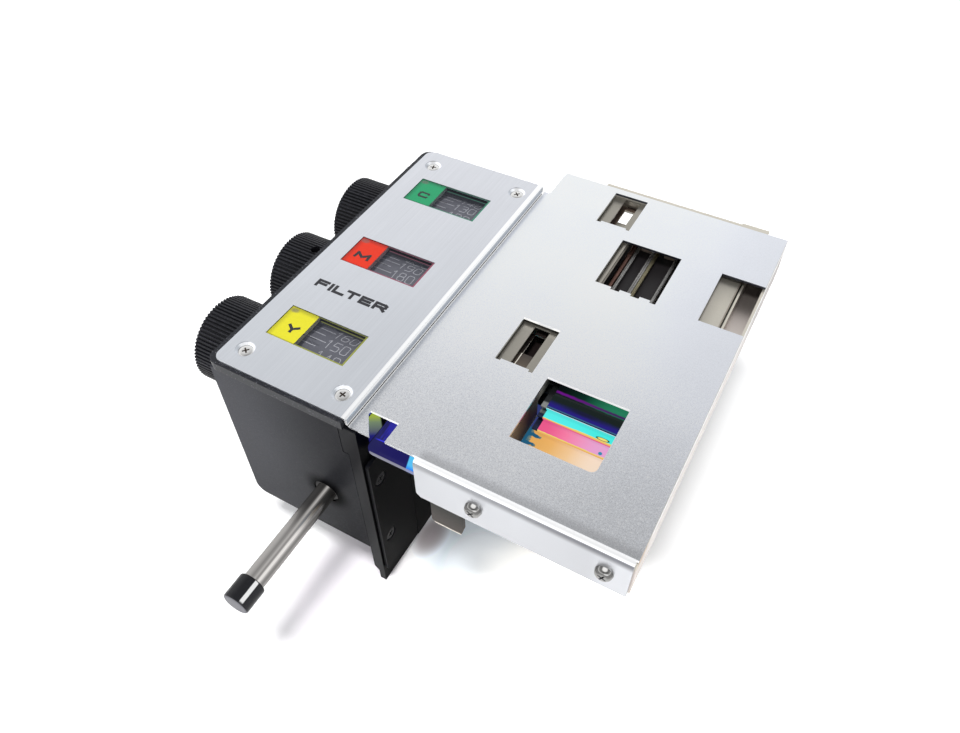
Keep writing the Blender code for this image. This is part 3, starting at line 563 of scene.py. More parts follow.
def glossy_cap():
    """Glossy moulded cap with a painted window highlight and a grey scuffed end."""
    mat = Finish("cap_black")
    face = mat.normal
    scuff = mat.noise(0.6, rough=0.6)
    fine = mat.noise(2.5, detail=2.0, rough=0.6, shift=2.0)
    angle = mat.mirror_angle() + (fine - 0.5) * 6.0
    side = mat.math("ABSOLUTE", face.y).step(0.5, 0.2)
    # painted highlight: a window seen in the cap's side, as emission
    highlight = angle.band(22.0, 56.0, soft=2.5) * side * mat.y.step(-51.5, -50.7)
    end = face.y.step(-0.6, -0.9)
    color = mat.mix(end, mat.shade((0.010, 0.010, 0.012), scuff.vary(0.2)),
                    mat.shade(srgb(104, 104, 110), scuff.vary(0.35), fine.vary(0.2)))
    return mat.surface(color, rough=end.scaled(0.25, 0.12), Specular_IOR_Level=0.25,
                       Emission_Color=WHITE, Emission_Strength=highlight * 0.8)


def drum_grey():
    mat = Finish("drum_grey")
    grain = mat.noise(2.0, rough=0.6)
    ring = mat.noise((3.5, 0.02, 0.02), detail=2.0, rough=0.5, shift=1.0)
    color = mat.shade((0.088, 0.088, 0.100), grain.vary(0.06), ring.vary(0.06))
    return mat.surface(color, rough=0.5, Specular_IOR_Level=0.18)


def ink(name, color, rough=0.5):
    mat = Finish(name)
    grain = mat.noise(3.0, rough=0.6)
    mat.bump(grain, strength=0.08, depth=0.01)
    return mat.surface(mat.shade(color, grain.vary(0.15)), rough=rough)


# ---- bare metal finishes -------------------------------------------------
def steel(name, color, rough, blotch=0.05):
    mat = Finish(name)
    grain = mat.noise(0.9, rough=0.6)
    cloud = mat.noise(0.12, detail=2.0, rough=0.5, shift=1.0)
    mat.bump(grain, strength=0.06, depth=0.01)
    return mat.surface(mat.shade(color, grain.vary(0.05), cloud.vary(blotch)),
                       rough=grain.scaled(0.06, rough), metal=1.0)


def cut_brass():
    mat = Finish("brass_cut")
    hair = mat.noise((0.3, 2.5, 2.5), rough=0.6)
    mat.bump(hair, strength=0.12, depth=0.02)
    return mat.surface(mat.shade((0.62, 0.44, 0.17), hair.vary(0.12)), rough=0.3, metal=1.0)


def polished_rod():
    """Rod drawn along Y: a painted reflection of the room shows as stripes along it."""
    mat = Finish("rod_polished")
    hair = mat.noise((3.0, 0.02, 3.0), rough=0.6)
    broad = mat.noise((0.25, 0.012, 0.25), detail=2.0, rough=0.5, shift=1.0)
    angle = mat.mirror_angle() + (broad - 0.5) * 5.0
    # painted reflection: (degrees, grey) of the stripes at the near end, then towards the housing
    outer = mat.greys(angle, -180.0, 180.0, [
        (-180, 160), (-90, 150), (-60, 140), (-30, 85), (-10, 115), (8, 205), (18, 245),
        (34, 235), (45, 150), (55, 128), (75, 182), (92, 145), (110, 128), (140, 148),
        (180, 165)])
    inner = mat.greys(angle, -180.0, 180.0, [
        (-180, 55), (-60, 40), (-30, 25), (0, 30), (30, 40), (48, 60), (60, 120), (75, 192),
        (90, 155), (103, 75), (120, 52), (180, 62)])
    stripes = mat.mix(mat.y.step(-23.0, -9.0), outer, inner)
    stripes = mat.mix(1.0, stripes, (1.0, 0.965, 0.93), mode="MULTIPLY")
    stripes = mat.shade(stripes, hair.vary(0.12), broad.vary(0.14))
    mat.bump(hair, strength=0.10, depth=0.01)
    return mat.polished(mat.shade((0.74, 0.715, 0.70), hair.vary(0.1)), rough=0.16,
                        reflection=stripes, share=0.82)


def chrome():
    """Bright plated screw with a painted reflection; its grey follows the mirrored ray's rise."""
    mat = Finish("screw_chrome")
    ray = mat.mirror()
    cloud = mat.noise(0.7, detail=2.0, rough=0.5)
    rise = ray.z + (cloud - 0.5) * 0.10
    room = mat.greys(rise, -1.0, 1.0, [
        (-1.0, 175), (-0.58, 110), (-0.40, 48), (-0.10, 42), (0.12, 80), (0.30, 165),
        (0.46, 95), (0.60, 42), (0.80, 60), (0.90, 238), (1.0, 255)])
    room = mat.mix(1.0, room, (1.0, 0.99, 0.97), mode="MULTIPLY")
    return mat.polished(mat.shade((0.80, 0.79, 0.77), cloud.vary(0.1)), rough=0.12,
                        reflection=room, share=0.80)


def sunk_screw():
    """Plated head of the escutcheon screws, with a painted reflection whose grey follows the
    mirrored ray's rise.
    """
    mat = Finish("screw_sunk")
    ray = mat.mirror()
    cloud = mat.noise(0.9, detail=2.0, rough=0.5)
    rise = ray.z + (cloud - 0.5) * 0.25
    room = mat.greys(rise, -1.0, 1.0, [
        (-1.0, 70), (-0.2, 90), (0.2, 235), (0.55, 240), (0.75, 205), (1.0, 150)])
    return mat.polished(mat.shade((0.80, 0.79, 0.77), cloud.vary(0.1)), rough=0.2,
                        reflection=room, share=0.6)


# ---- labels and windows --------------------------------------------------
def label(key, color, dark):
    """Tinted label plate, shaded along its left and far edges by the opening."""
    low, high = box_mm("label_" + key)
    mat = Finish("label_" + key)
    grain = mat.noise(0.9, rough=0.5)
    color = mat.shade(color, grain.vary(0.05))
    left = mat.x.step(low.x + 2.6, low.x)
    far = mat.y.step(high.y - 2.6, high.y)
    color = mat.mix((left * 0.55).maximum(far * 0.75), color, dark)
    # darker patch in the far left corner
    across = mat.x - (low.x + 2.0)
    along = mat.y - (high.y - 1.6)
    far_corner_dark = (across * across + along * along * 2.5).step(5.5, 0.0)
    color = mat.mix(far_corner_dark * grain.vary(0.6) * 0.62, color, (0.10, 0.09, 0.085))
    # the right side lies in shade under the acrylic
    side = mat.normal.x.step(0.4, 0.8)
    color = mat.mix(side * 0.88, color, (0.130, 0.130, 0.140))
    near = mat.y.step(low.y + 0.75, low.y + 0.35)
    color = mat.mix(near * 0.65, color, dark)
    mat.bump(grain, strength=0.04, depth=0.02)
    return mat.surface(color, rough=0.35, Coat_Weight=0.06, Coat_Roughness=0.12,
                       Specular_IOR_Level=0.25)


def acrylic(key, tint):
    """Clear acrylic with the label's tint gathering at its edges."""
    low, high = box_mm("window_" + key)
    mat = Finish("acrylic_" + key)
    cloud = mat.noise(0.5, rough=0.5)
    edge = mat.x.step(high.x - 0.9, high.x - 0.5).maximum(
        mat.y.step(low.y + 0.75, low.y + 0.4))
    edge = edge.maximum(mat.y.step(high.y - 0.6, high.y - 0.3) * 0.5)
    clear = mat.value("BsdfTransparent",
                      Color=mat.mix(edge, (0.95, 0.955, 0.965), mat.shade(tint, 0.55)))
    # painted sheen on the upper face, tinted at the edges, seen by the camera only
    painted_sheen = mat.shade((0.016, 0.017, 0.021), cloud.vary(0.3))
    painted_sheen = mat.mix(edge, painted_sheen, mat.shade(tint, 0.50))
    light_path = mat.node("LightPath").outputs
    camera, shadow, diffuse = [Value(mat, light_path["Is %s Ray" % kind])
                               for kind in ("Camera", "Shadow", "Diffuse")]
    glow = mat.value("Emission", Color=painted_sheen, Strength=mat.normal.z.step(0.7, 0.95) * camera)
    veiled = mat.value("AddShader", clear, glow)
    # shadow and diffuse rays pass straight through
    passing = mat.value("BsdfTransparent", Color=WHITE)
    return mat.finish(mat.value("MixShader", shadow.maximum(diffuse), veiled, passing))


# ---- coated glass --------------------------------------------------------
def coated_glass(name, node, coating, front=None):
    """Interference colour from coating(mat, near_y), glowing as painted light for the light
    coming through; front tints the front edge face as (top line colour, body colour, line
    height)."""
    mat = Finish(name)
    low, high = box_mm(node)
    color = coating(mat, low.y)
    cloud = mat.noise(0.15, detail=2.0, rough=0.5)
    if front:
        top_line, body, height = front
        edge = mat.mix(mat.z.step(high.z - height, high.z - height - 0.08), top_line, body)
        color = mat.mix(mat.normal.y.step(-0.5, -0.8), color, edge)
    color = mat.shade(color, cloud.vary(0.05))
    # the colour glows as painted light
    return mat.surface(mat.shade(color, 0.10), rough=0.10, Specular_IOR_Level=0.10,
                       Emission_Color=color, Emission_Strength=0.88)


def heat_coating(mat, near_y):
    """Peach to the right, deep indigo in the notch at the left."""
    warm = mat.ramp(mat.x.step(47.5, 75.0), [
        (0.0, srgb(226, 168, 88)), (0.35, srgb(232, 178, 104)), (0.70, srgb(240, 200, 150)),
        (1.0, srgb(243, 220, 198))])
    # blue-green margin beside the wall, with ragged tongues
    margin = mat.x.wobble(3.2, shift=2.0)
    near_tongue = mat.y.wobble(1.2, shift=5.0).band(29.3, 30.5, soft=0.25) * 2.6
    far_tongue = mat.y.wobble(1.2, shift=8.0).band(33.0, 34.2, soft=0.25) * 3.2
    margin = margin - near_tongue - far_tongue
    warm = mat.mix(margin.step(51.4, 50.9), warm, srgb(96, 120, 120))
    warm = mat.mix(margin.step(50.7, 50.2), warm, srgb(34, 92, 124))
    warm = mat.mix(mat.y.step(35.5, 37.0), warm, srgb(52, 62, 120))
    cold = mat.ramp(mat.x.step(5.0, 27.0), [
        (0.0, srgb(40, 40, 92)), (0.12, srgb(34, 30, 92)), (0.55, srgb(34, 32, 96)),
        (0.86, srgb(34, 32, 100)), (1.0, srgb(40, 44, 130))])
    streak = mat.noise((0.8, 0.10, 0.3), detail=2.0, rough=0.5, shift=3.0)
    cold = mat.mix(mat.y.step(6.5, 8.5) * streak.step(0.62, 0.40), cold, srgb(50, 48, 160))
    blue = (mat.y - mat.x * 0.06).band(6.4, 6.8, soft=0.2) * mat.x.band(6.5, 11.0, soft=1.2)
    cold = mat.mix(blue, cold, srgb(60, 60, 235))
    # sky-blue corner right of a slanting line
    slant = mat.x + mat.y * 0.31
    cold = mat.mix(slant.step(21.7, 22.1), cold, srgb(92, 200, 252))
    cold = mat.mix(slant.step(21.7, 22.1) * mat.y.step(3.6, 1.4), cold, srgb(46, 120, 240))
    rim = mat.y.step(near_y + 0.45, near_y + 0.25)
    cold = mat.mix(rim * 0.8, cold, srgb(150, 150, 165))
    return mat.mix(mat.x.step(34.0, 40.0), cold, warm)


def cyan_coating(mat, near_y):
    """Black to green by the far edge, a violet line, indigo by the near edge."""
    along = mat.y.wobble(0.5, shift=1.0)
    far = mat.ramp(mat.x.step(52.0, 74.0), [
        (0.0, srgb(10, 14, 16)), (0.45, srgb(12, 46, 36)), (1.0, srgb(38, 124, 90))])
    color = mat.mix(along.step(47.0, 48.0), srgb(16, 28, 26), far)
    line = along.band(47.7, 48.7, soft=0.35) * mat.x.step(50.5, 54.0, low=0.2, high=1.0)
    violet = mat.mix(mat.x.step(54.0, 76.0), srgb(104, 22, 130), srgb(62, 34, 88))
    color = mat.mix(line, color, violet)
    color = mat.mix(along.step(44.6, 41.8), color, srgb(34, 24, 122))
    dark = mat.x.band(60.0, 70.0, soft=5.0) * along.band(42.6, 44.2, soft=0.8)
    color = mat.mix(dark, color, srgb(18, 18, 52))
    color = mat.mix(mat.y.step(near_y + 1.05, near_y + 0.85), color, srgb(58, 96, 130))
    return mat.mix(mat.y.step(near_y + 0.50, near_y + 0.40), color, srgb(18, 30, 60))


def yellow_coating(mat, near_y):
    """Turquoise with an amber near edge and a ringed spot by the right end."""
    along = mat.y.wobble(0.35, shift=1.0)
    color = mat.mix(mat.x.step(54.0, 76.0), srgb(88, 238, 234), srgb(72, 236, 226))
    edge = along - mat.x.step(58.0, 66.0, low=0.0, high=0.35)
    color = mat.mix(edge.step(near_y + 0.30, near_y + 0.15), color, srgb(236, 200, 110))
    spot = ellipse(mat.x, mat.y - mat.x * 0.02, centre=(73.6, 37.5), radii=(2.4, 0.62))
    color = mat.mix(spot.step(1.1, 0.9), color, srgb(40, 44, 30))
    return mat.mix(spot.step(0.65, 0.45), color, srgb(236, 226, 120))


def magenta_coating(mat, near_y):
    """Pink with a small blue spot by the right end and an amber near edge."""
    along = mat.y.wobble(0.5, shift=1.0)
    color = mat.ramp(mat.x.step(53.0, 76.0), [
        (0.0, srgb(232, 88, 138)), (0.35, srgb(242, 124, 164)), (0.7, srgb(236, 148, 190)),
        (1.0, srgb(228, 164, 212))])
    spot_x = mat.x - 74.6
    spot_y = mat.y - 35.2
    spot = spot_x * spot_x + spot_y * spot_y
    color = mat.mix(spot.step(0.55, 0.35), color, srgb(52, 140, 176))
    return mat.mix(along.step(near_y + 0.25, near_y + 0.10), color, srgb(236, 214, 120))


FINISH = {
    "alu": brushed_aluminium(),
    "cover": sparkle_lacquer(),
    "nickel": nickel("nickel_body", brightness=0.95, tone=chassis_tone),
    # guide and edge plates: a lower brightness as painted shade for their depth in the tray
    "guide": nickel("nickel_guide", brightness=0.50),
    "edge": nickel("nickel_edge", brightness=0.80, tone=edge_tone),
    "housing": paint("paint_housing", (0.030, 0.0310, 0.040), rough=0.46, grain_mm=0.30,
                     strength=0.30, specular=0.25, fleck=0.10, shadow=housing_shadow),
    "rim": paint("rim_moulding", (0.010, 0.011, 0.015), rough=0.34, grain_mm=0.40,
                 specular=0.30, fleck=0.30),
    "plate": black_plate(),
    "knob": moulded_black(),
    "cap": glossy_cap(),
    "steel": steel("steel_bright", (0.70, 0.69, 0.68), rough=0.16),
    "chrome": chrome(),
    "dark_screw": paint("screw_black", (0.0040, 0.0040, 0.0048), rough=0.34, grain_mm=0.5,
                        strength=0.05, specular=0.10),
    "rod": polished_rod(),
    "drum": drum_grey(),
    "brass": cut_brass(),
    "bush": paint("bush_black", (0.010, 0.009, 0.008), rough=0.4, grain_mm=0.5, strength=0.1,
                  specular=0.2),
    "slider": slider_bar(),
    "baffle": ink("baffle_black", (0.0115, 0.0100, 0.0110), rough=0.6),
    "wall": well_brown(),
    "bright": steel("cut_edge", (0.90, 0.86, 0.76), rough=0.25),
    "deep": deep_brown(),
    "brown": paint("brown_metal", (0.16, 0.125, 0.10), rough=0.5, grain_mm=0.5, strength=0.1,
                   specular=0.4),
    "label_c": label("c", srgb(22, 134, 88), dark=srgb(14, 78, 54)),
    "label_m": label("m", srgb(196, 40, 12), dark=srgb(112, 24, 20)),
    "label_y": label("y", srgb(196, 190, 34), dark=srgb(128, 126, 30)),
    "window_c": acrylic("c", srgb(110, 190, 160)),
    "window_m": acrylic("m", srgb(205, 130, 150)),
    "window_y": acrylic("y", srgb(205, 210, 110)),
    "glass_heat": coated_glass("glass_heat", "heat_glass", heat_coating),
    "filter_c": coated_glass("glass_cyan", "filter_c", cyan_coating,
                             (srgb(200, 232, 240), srgb(84, 222, 222), 0.25)),
    "filter_y": coated_glass("glass_yellow", "filter_y", yellow_coating,
                             (srgb(238, 196, 84), srgb(232, 100, 142), 0.30)),
    "filter_m": coated_glass("glass_magenta", "filter_m", magenta_coating,
                             (srgb(238, 214, 110), srgb(236, 176, 104), 0.30)),
}


# ---- dressing the CAD nodes ----------------------------------------------
def smooth_group(degrees):
    """Geometry nodes that shade smooth but keep edges over an angle sharp."""
    group = bpy.data.node_groups.new("smooth_by_angle_%d" % degrees, "GeometryNodeTree")
    for direction in ("INPUT", "OUTPUT"):
        group.interface.new_socket("Geometry", in_out=direction,
                                   socket_type="NodeSocketGeometry")
    add, link = group.nodes.new, group.links.new
    source = add("NodeGroupInput")
    result = add("NodeGroupOutput")
    faces = add("GeometryNodeSetShadeSmooth")
    faces.domain = "FACE"
    faces.inputs["Shade Smooth"].default_value = True
    edges = add("GeometryNodeSetShadeSmooth")
    edges.domain = "EDGE"
    edges.inputs["Shade Smooth"].default_value = False
    angle = add("GeometryNodeInputMeshEdgeAngle")
    compare = add("FunctionNodeCompare")
    compare.data_type = "FLOAT"
    compare.operation = "GREATER_THAN"
    compare.inputs[1].default_value = math.radians(degrees)
    link(source.outputs[0], faces.inputs["Geometry"])
    link(faces.outputs[0], edges.inputs["Geometry"])
    link(angle.outputs["Unsigned Angle"], compare.inputs[0])
    link(compare.outputs[0], edges.inputs["Selection"])
    link(edges.outputs[0], result.inputs[0])
    return group


SMOOTH = {degrees: smooth_group(degrees) for degrees in (32, 42)}


def add_modifier(piece, name, kind, **settings):
    modifier = piece.modifiers.new(name, kind)
    for setting, value in settings.items():
        setattr(modifier, setting, value)


def dress(name, finish, edge=0.0, segments=2, angle=30, smooth=42):
    """Material, edges rounded by a width in mm, and clean shading on a CAD node."""
    piece = NODES[name]
    piece.data.materials.clear()
    piece.data.materials.append(FINISH[finish])
    attributes = piece.data.attributes
    if "custom_normal" in attributes:
        attributes.remove(attributes["custom_normal"])
    add_modifier(piece, "weld", "WELD", merge_threshold=0.000002)
    add_modifier(piece, "planar", "DECIMATE", decimate_type="DISSOLVE",
                 angle_limit=math.radians(0.3))
    if edge:
        add_modifier(piece, "edge", "BEVEL", width=edge / 1000.0, segments=segments,
                     limit_method="ANGLE", angle_limit=math.radians(angle),
                     use_clamp_overlap=True, miter_outer="MITER_SHARP")
    add_modifier(piece, "smooth", "NODES", node_group=SMOOTH[smooth])
    add_modifier(piece, "normals", "WEIGHTED_NORMAL", keep_sharp=True, weight=80)


dress("housing", "housing", 0.55, segments=3)
dress("rim_frame", "rim", 0.25)
dress("escutcheon", "alu", 0.14)
for i in range(1, 5):
    dress("escutcheon_screw_%d" % i, "steel", 0.07)
for key in DIALS:
    dress("label_" + key, "label_" + key, 0.12)
    dress("window_" + key, "window_" + key, 0.10)
    dress("knob_" + key, "knob", 0.14, angle=34)
    dress("grub_screw_" + key, "dark_screw", 0.08)
    dress("shaft_" + key, "steel", 0.2)
    dress("drum_" + key, "drum", 0.15)
    dress("pinion_" + key, "brass")
    dress("rack_" + key, "steel")
    dress("slider_" + key, "slider", 0.10)
    dress("filter_" + key, "filter_" + key, 0.12)
dress("side_plate", "plate", 0.35, segments=3)
dress("doubler_plate", "plate", 0.20)
for i in (1, 2):
    dress("doubler_screw_%d" % i, "dark_screw", 0.07)
    dress("cover_screw_%d" % i, "chrome", 0.06, smooth=32)
    dress("chassis_screw_%d" % i, "steel", 0.06)
dress("tray_cover", "cover", 0.20)
dress("tray_chassis", "nickel", 0.15)
dress("guide_plate", "guide", 0.12)
dress("edge_panel", "edge", 0.12)
dress("well_wall", "wall", 0.12)
dress("heat_glass", "glass_heat", 0.12)
dress("light_baffle", "baffle", 0.05)
dress("rod", "rod", 0.5)
dress("rod_cap", "cap", 0.7, segments=3)
dress("push_bar", "steel", 0.2)
dress("rod_bush", "bush", 0.15)
dress("rack_rest", "steel", 0.1)


# ---- mesh helpers for new pieces -----------------------------------------
def new_piece(name, mesh, material, slot, body="base", smooth=None):
    """Working-millimetre bmesh to a piece riding on a body."""
    for vert in mesh.verts:
        vert.co = to_frame(*vert.co)
    bmesh.ops.recalc_face_normals(mesh, faces=mesh.faces)
    data = bpy.data.meshes.new(name)
    mesh.to_mesh(data)
    mesh.free()
    piece = bpy.data.objects.new(name, data)
    bpy.context.scene.collection.objects.link(piece)
    data.materials.append(material)
    if smooth:
        data.shade_smooth()
        data.set_sharp_from_angle(angle=math.radians(smooth))
    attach(piece, body)
    return piece


def bridge(mesh, first, second):
    """Faces between two rings of vertices."""
    count = len(first)
    return [mesh.faces.new((first[i], first[(i + 1) % count], second[(i + 1) % count], second[i]))
            for i in range(count)]


def prism(mesh, sections):
    """Closed strip through a list of cross sections, each a list of points."""
    rings = [[mesh.verts.new(point) for point in section] for section in sections]
    for first, second in zip(rings, rings[1:]):
        bridge(mesh, first, second)
    mesh.faces.new(rings[0][::-1])
    mesh.faces.new(rings[-1])


def stroke_frame(start, end, width):
    """Length, direction and half-width vector of a straight stroke."""
    direction = Vector((end[0] - start[0], end[1] - start[1]))
    length = direction.length
    direction /= length
    return length, direction, Vector((-direction.y, direction.x)) * (width / 2)


# ---- drum numerals -------------------------------------------------------
# polylines of (across, up), each from 0 to 1
DIGITS = {
    "0": [[(.18, 0), (.82, 0), (1, .14), (1, .86), (.82, 1), (.18, 1), (0, .86), (0, .14),
           (.18, 0)]],
    "1": [[(.10, .80), (.45, 1.0), (.45, 0)]],
    "2": [[(0, .84), (.18, 1), (.82, 1), (1, .86), (1, .60), (.85, .47), (.15, .34), (0, .20),
           (0, 0), (1, 0)]],
    "3": [[(0, 1), (.82, 1), (1, .86), (1, .64), (.82, .52), (.30, .52)],
          [(.82, .52), (1, .40), (1, .14), (.82, 0), (0, 0)]],
    "4": [[(.74, 0), (.74, 1), (0, .30), (1, .30)]],
    "5": [[(1, 1), (.10, 1), (0, .54), (.80, .54), (1, .42), (1, .14), (.82, 0), (0, 0)]],
    "6": [[(.95, 1), (.25, 1), (0, .76), (0, .14), (.18, 0), (.82, 0), (1, .14), (1, .42),
           (.82, .54), (0, .54)]],
    "7": [[(0, 1), (1, 1), (.38, 0)]],
    "8": [[(.18, 0), (.82, 0), (1, .14), (1, .40), (.84, .52), (.16, .52), (0, .40), (0, .14),
           (.18, 0)],
          [(.16, .52), (.06, .64), (.06, .88), (.22, 1), (.78, 1), (.94, .88), (.94, .64),
           (.84, .52)]],
    "9": [[(.05, 0), (.75, 0), (1, .24), (1, .86), (.82, 1), (.18, 1), (0, .86), (0, .58),
           (.18, .46), (1, .46)]],
}
DIGIT_WIDTH, DIGIT_HEIGHT, DIGIT_STROKE = 2.6, 4.2, 0.30
DIGIT_LEFT = (-27.2, -24.1, -20.4)         # left edges of hundreds, tens and units
TICK_LEFT, TEN_TICK_RIGHT, FIVE_TICK_RIGHT = -36.8, -27.6, -29.9
TICK_STROKE = 0.34
INK_PROUD, INK_SUNK = 0.05, 0.03           # heights above and below the drum's surface
BEND_STEP = 1.1                            # longest straight run round the drum


def on_drum(key, x, up, height, value):
    """Point on a drum: x along it, up the numeral, height above the surface."""
    angle = math.radians((value - READING[key]) * DEGREES[key]) + up / DRUM_RADIUS
    radius = DRUM_RADIUS + height
    return x, SHAFT_Y[key] + radius * math.sin(angle), SHAFT_Z[key] + radius * math.cos(angle)


def drum_stroke(mesh, key, start, end, value, width):
    """One straight stroke, bent onto the drum."""
    length, direction, half = stroke_frame(start, end, width)
    overrun = width * 0.32
    steps = max(1, int(math.ceil(abs(end[1] - start[1]) / BEND_STEP)))
    sections = []
    for i in range(steps + 1):
        centre = Vector(start) + direction * (-overrun + (length + 2 * overrun) * i / steps)
        sections.append([on_drum(key, centre.x + side * half.x, centre.y + side * half.y,
                                 height, value)
                         for side, height in ((1, INK_PROUD), (-1, INK_PROUD),
                                              (-1, -INK_SUNK), (1, -INK_SUNK))])
    prism(mesh, sections)


def numerals(key):
    """A tick at every 5 and a longer one with its number at every 10."""
    mesh = bmesh.new()
    for value in range(0, 201, 5):
        ten = value % 10 == 0
        drum_stroke(mesh, key, (TICK_LEFT, 0), (TEN_TICK_RIGHT if ten else FIVE_TICK_RIGHT, 0),
                    value, TICK_STROKE)
        if not ten:
            continue
        text = str(value)
        for digit, left in zip(text, DIGIT_LEFT[-len(text):]):
            for line in DIGITS[digit]:
                points = [(left + across * DIGIT_WIDTH, (up - 0.5) * DIGIT_HEIGHT)
                          for across, up in line]
                for start, end in zip(points, points[1:]):
                    drum_stroke(mesh, key, start, end, value, DIGIT_STROKE)
    new_piece("numerals_" + key, mesh, INK_LIGHT, "drum", body=DIALS[key] + "_dial")


INK_LIGHT = ink("numeral_grey", (0.30, 0.30, 0.32))
INK_DARK = ink("print_black", (0.012, 0.012, 0.016), rough=0.40)
for key in DIALS:
    numerals(key)


# ---- cross-head screws ---------------------------------------------------
def crosshead(name, old, place, segments, radius, profile, half_width, arm, floor_scale,
              depth, turn, finishes, smooth):
    """Turned head with an open cross recess, in place of a CAD screw.

    place maps (across, up, height) to a point.  The profile holds (radius
    factor, height) from the underside to the top; finishes are head and recess.
    """
    mesh = bmesh.new()
    angles = [2 * math.pi * i / segments for i in range(segments)]
    rings = [[mesh.verts.new(place(factor * radius * math.cos(angle),
                                   factor * radius * math.sin(angle), height))
              for angle in angles] for factor, height in profile]
    for first, second in zip(rings, rings[1:]):
        bridge(mesh, first, second)
    mesh.faces.new(rings[0][::-1])
    w, a = half_width, arm
    outline = [(w, a), (-w, a), (-w, w), (-a, w), (-a, -w), (-w, -w), (-w, -a), (w, -a),
               (w, -w), (a, -w), (a, w), (w, w)]
    cosine, sine = math.cos(turn), math.sin(turn)

    def cross(scale, height):
        return [mesh.verts.new(place((p * cosine - q * sine) * scale,
                                     (p * sine + q * cosine) * scale, height))
                for p, q in outline]

    top_height = profile[-1][1]
    top, bottom = cross(1.0, top_height), cross(floor_scale, top_height - depth)
    for face in bridge(mesh, top, bottom) + [mesh.faces.new(bottom)]:
        face.material_index = 1
    edges = [mesh.edges.get((loop[i], loop[(i + 1) % len(loop)]))
             for loop in (rings[-1], top) for i in range(len(loop))]
    bmesh.ops.triangle_fill(mesh, use_beauty=True, use_dissolve=False, edges=edges)
    head, recess = finishes
    piece = new_piece(name, mesh, head, "steel", smooth=smooth)
    piece.data.materials.append(recess)
    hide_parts(old)


def pan_screw(number, finishes):
    """Domed head on the tray cover, facing the front, its seat at y = 0."""
    old = "cover_screw_%d" % number
    low, high = box_mm(old)
    centre_x, _, centre_z = centre_mm(old)
    radius = (high.z - low.z) / 2
    top = -low.y
    profile = [(1.0, -0.2), (1.0, 0.22 * top), (0.985, 0.45 * top), (0.93, 0.66 * top),
               (0.83, 0.83 * top), (0.69, 0.94 * top), (0.55, top)]
    crosshead("cover_panhead_%d" % number, old,
              lambda across, up, height: (centre_x + across, -height, centre_z + up),
              segments=40, radius=radius, profile=profile, half_width=0.28,
              arm=0.51 * radius, floor_scale=0.6, depth=1.1, turn=0.5 + 0.3 * number,
              finishes=finishes, smooth=50)


def sunk_crosshead(number, finishes):
    """Bevelled head sunk in the escutcheon, facing up."""
    old = "escutcheon_screw_%d" % number
    centre_x, centre_y, _ = centre_mm(old)
    top = -0.80
    profile = [(1.0, top - 0.9), (1.0, top - 0.30), (0.93, top - 0.10), (0.80, top)]
    crosshead("escutcheon_crosshead_%d" % number, old,
              lambda across, up, height: (centre_x + across, centre_y + up, height),
              segments=32, radius=2.62, profile=profile, half_width=0.30, arm=1.30,
              floor_scale=0.62, depth=0.75, turn=0.35 + 0.5 * number,
              finishes=finishes, smooth=40)


SUNK = sunk_screw()
RECESS_BROWN = ink("recess_brown", (0.060, 0.046, 0.038))
RECESS_STEEL = steel("recess_steel", (0.16, 0.16, 0.18), rough=0.25)
for i in (1, 2):
    pan_screw(i, (FINISH["chrome"], RECESS_STEEL))
for i in range(1, 5):
    sunk_crosshead(i, (SUNK, RECESS_BROWN))

# ---- tray springs as real coils ------------------------------------------
WIRE_RADIUS, COIL_PITCH = 0.23, 0.66
COIL_NEAR_Y, COIL_FAR_GAP = 100.2, 0.6     # near end; gap to the CAD spring's far end
STEPS_PER_TURN, WIRE_SIDES = 12, 6


def coil(name, node, centre_x, radius, material):
    far_y = box_mm(node)[1].y - COIL_FAR_GAP
    centre_z = centre_mm(node)[2]
    length = far_y - COIL_NEAR_Y
    turns = length / COIL_PITCH
    steps = int(turns * STEPS_PER_TURN)
    along = Vector((0, 1, 0))
    wire_angles = [2 * math.pi * j / WIRE_SIDES for j in range(WIRE_SIDES)]
    sections = []
    for i in range(steps + 1):
        part = i / steps
        angle = 2 * math.pi * turns * part
        centre = Vector((centre_x + radius * math.cos(angle), COIL_NEAR_Y + length * part,
                         centre_z + radius * math.sin(angle)))
        out = Vector((math.cos(angle), 0, math.sin(angle)))
        sections.append([centre + out * WIRE_RADIUS * math.cos(round_wire)
                         + along * WIRE_RADIUS * math.sin(round_wire)
                         for round_wire in wire_angles])
    mesh = bmesh.new()
    prism(mesh, sections)
    return new_piece(name, mesh, material, "spring", smooth=60)


COPPER = steel("spring_copper", (0.30, 0.17, 0.14), rough=0.25, blotch=0.4)
STRAW = steel("spring_straw", (0.50, 0.45, 0.30), rough=0.25, blotch=0.3)
SPRING_STEEL = steel("spring_steel", (0.52, 0.51, 0.50), rough=0.22, blotch=0.4)
# name, CAD spring, offset in x from its centre, radius, finish, stands in for it
COILS = (
    ("spring_coil_1", 1, 0.1, 0.80, COPPER, True),
    ("spring_coil_1b", 1, 2.0, 0.72, SPRING_STEEL, False),
    ("spring_coil_2", 2, -0.5, 0.80, SPRING_STEEL, True),
    ("spring_coil_2b", 2, 1.0, 0.60, STRAW, False),
    ("spring_coil_3", 3, 0.0, 0.85, SPRING_STEEL, True),
)
spring_x = {i: centre_mm("tray_spring_%d" % i)[0] for i in (1, 2, 3)}
for name, number, offset, radius, material, stands_in in COILS:
    node = "tray_spring_%d" % number
    spring = coil(name, node, spring_x[number] + offset, radius, material)
    if stands_in:
        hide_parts(node)

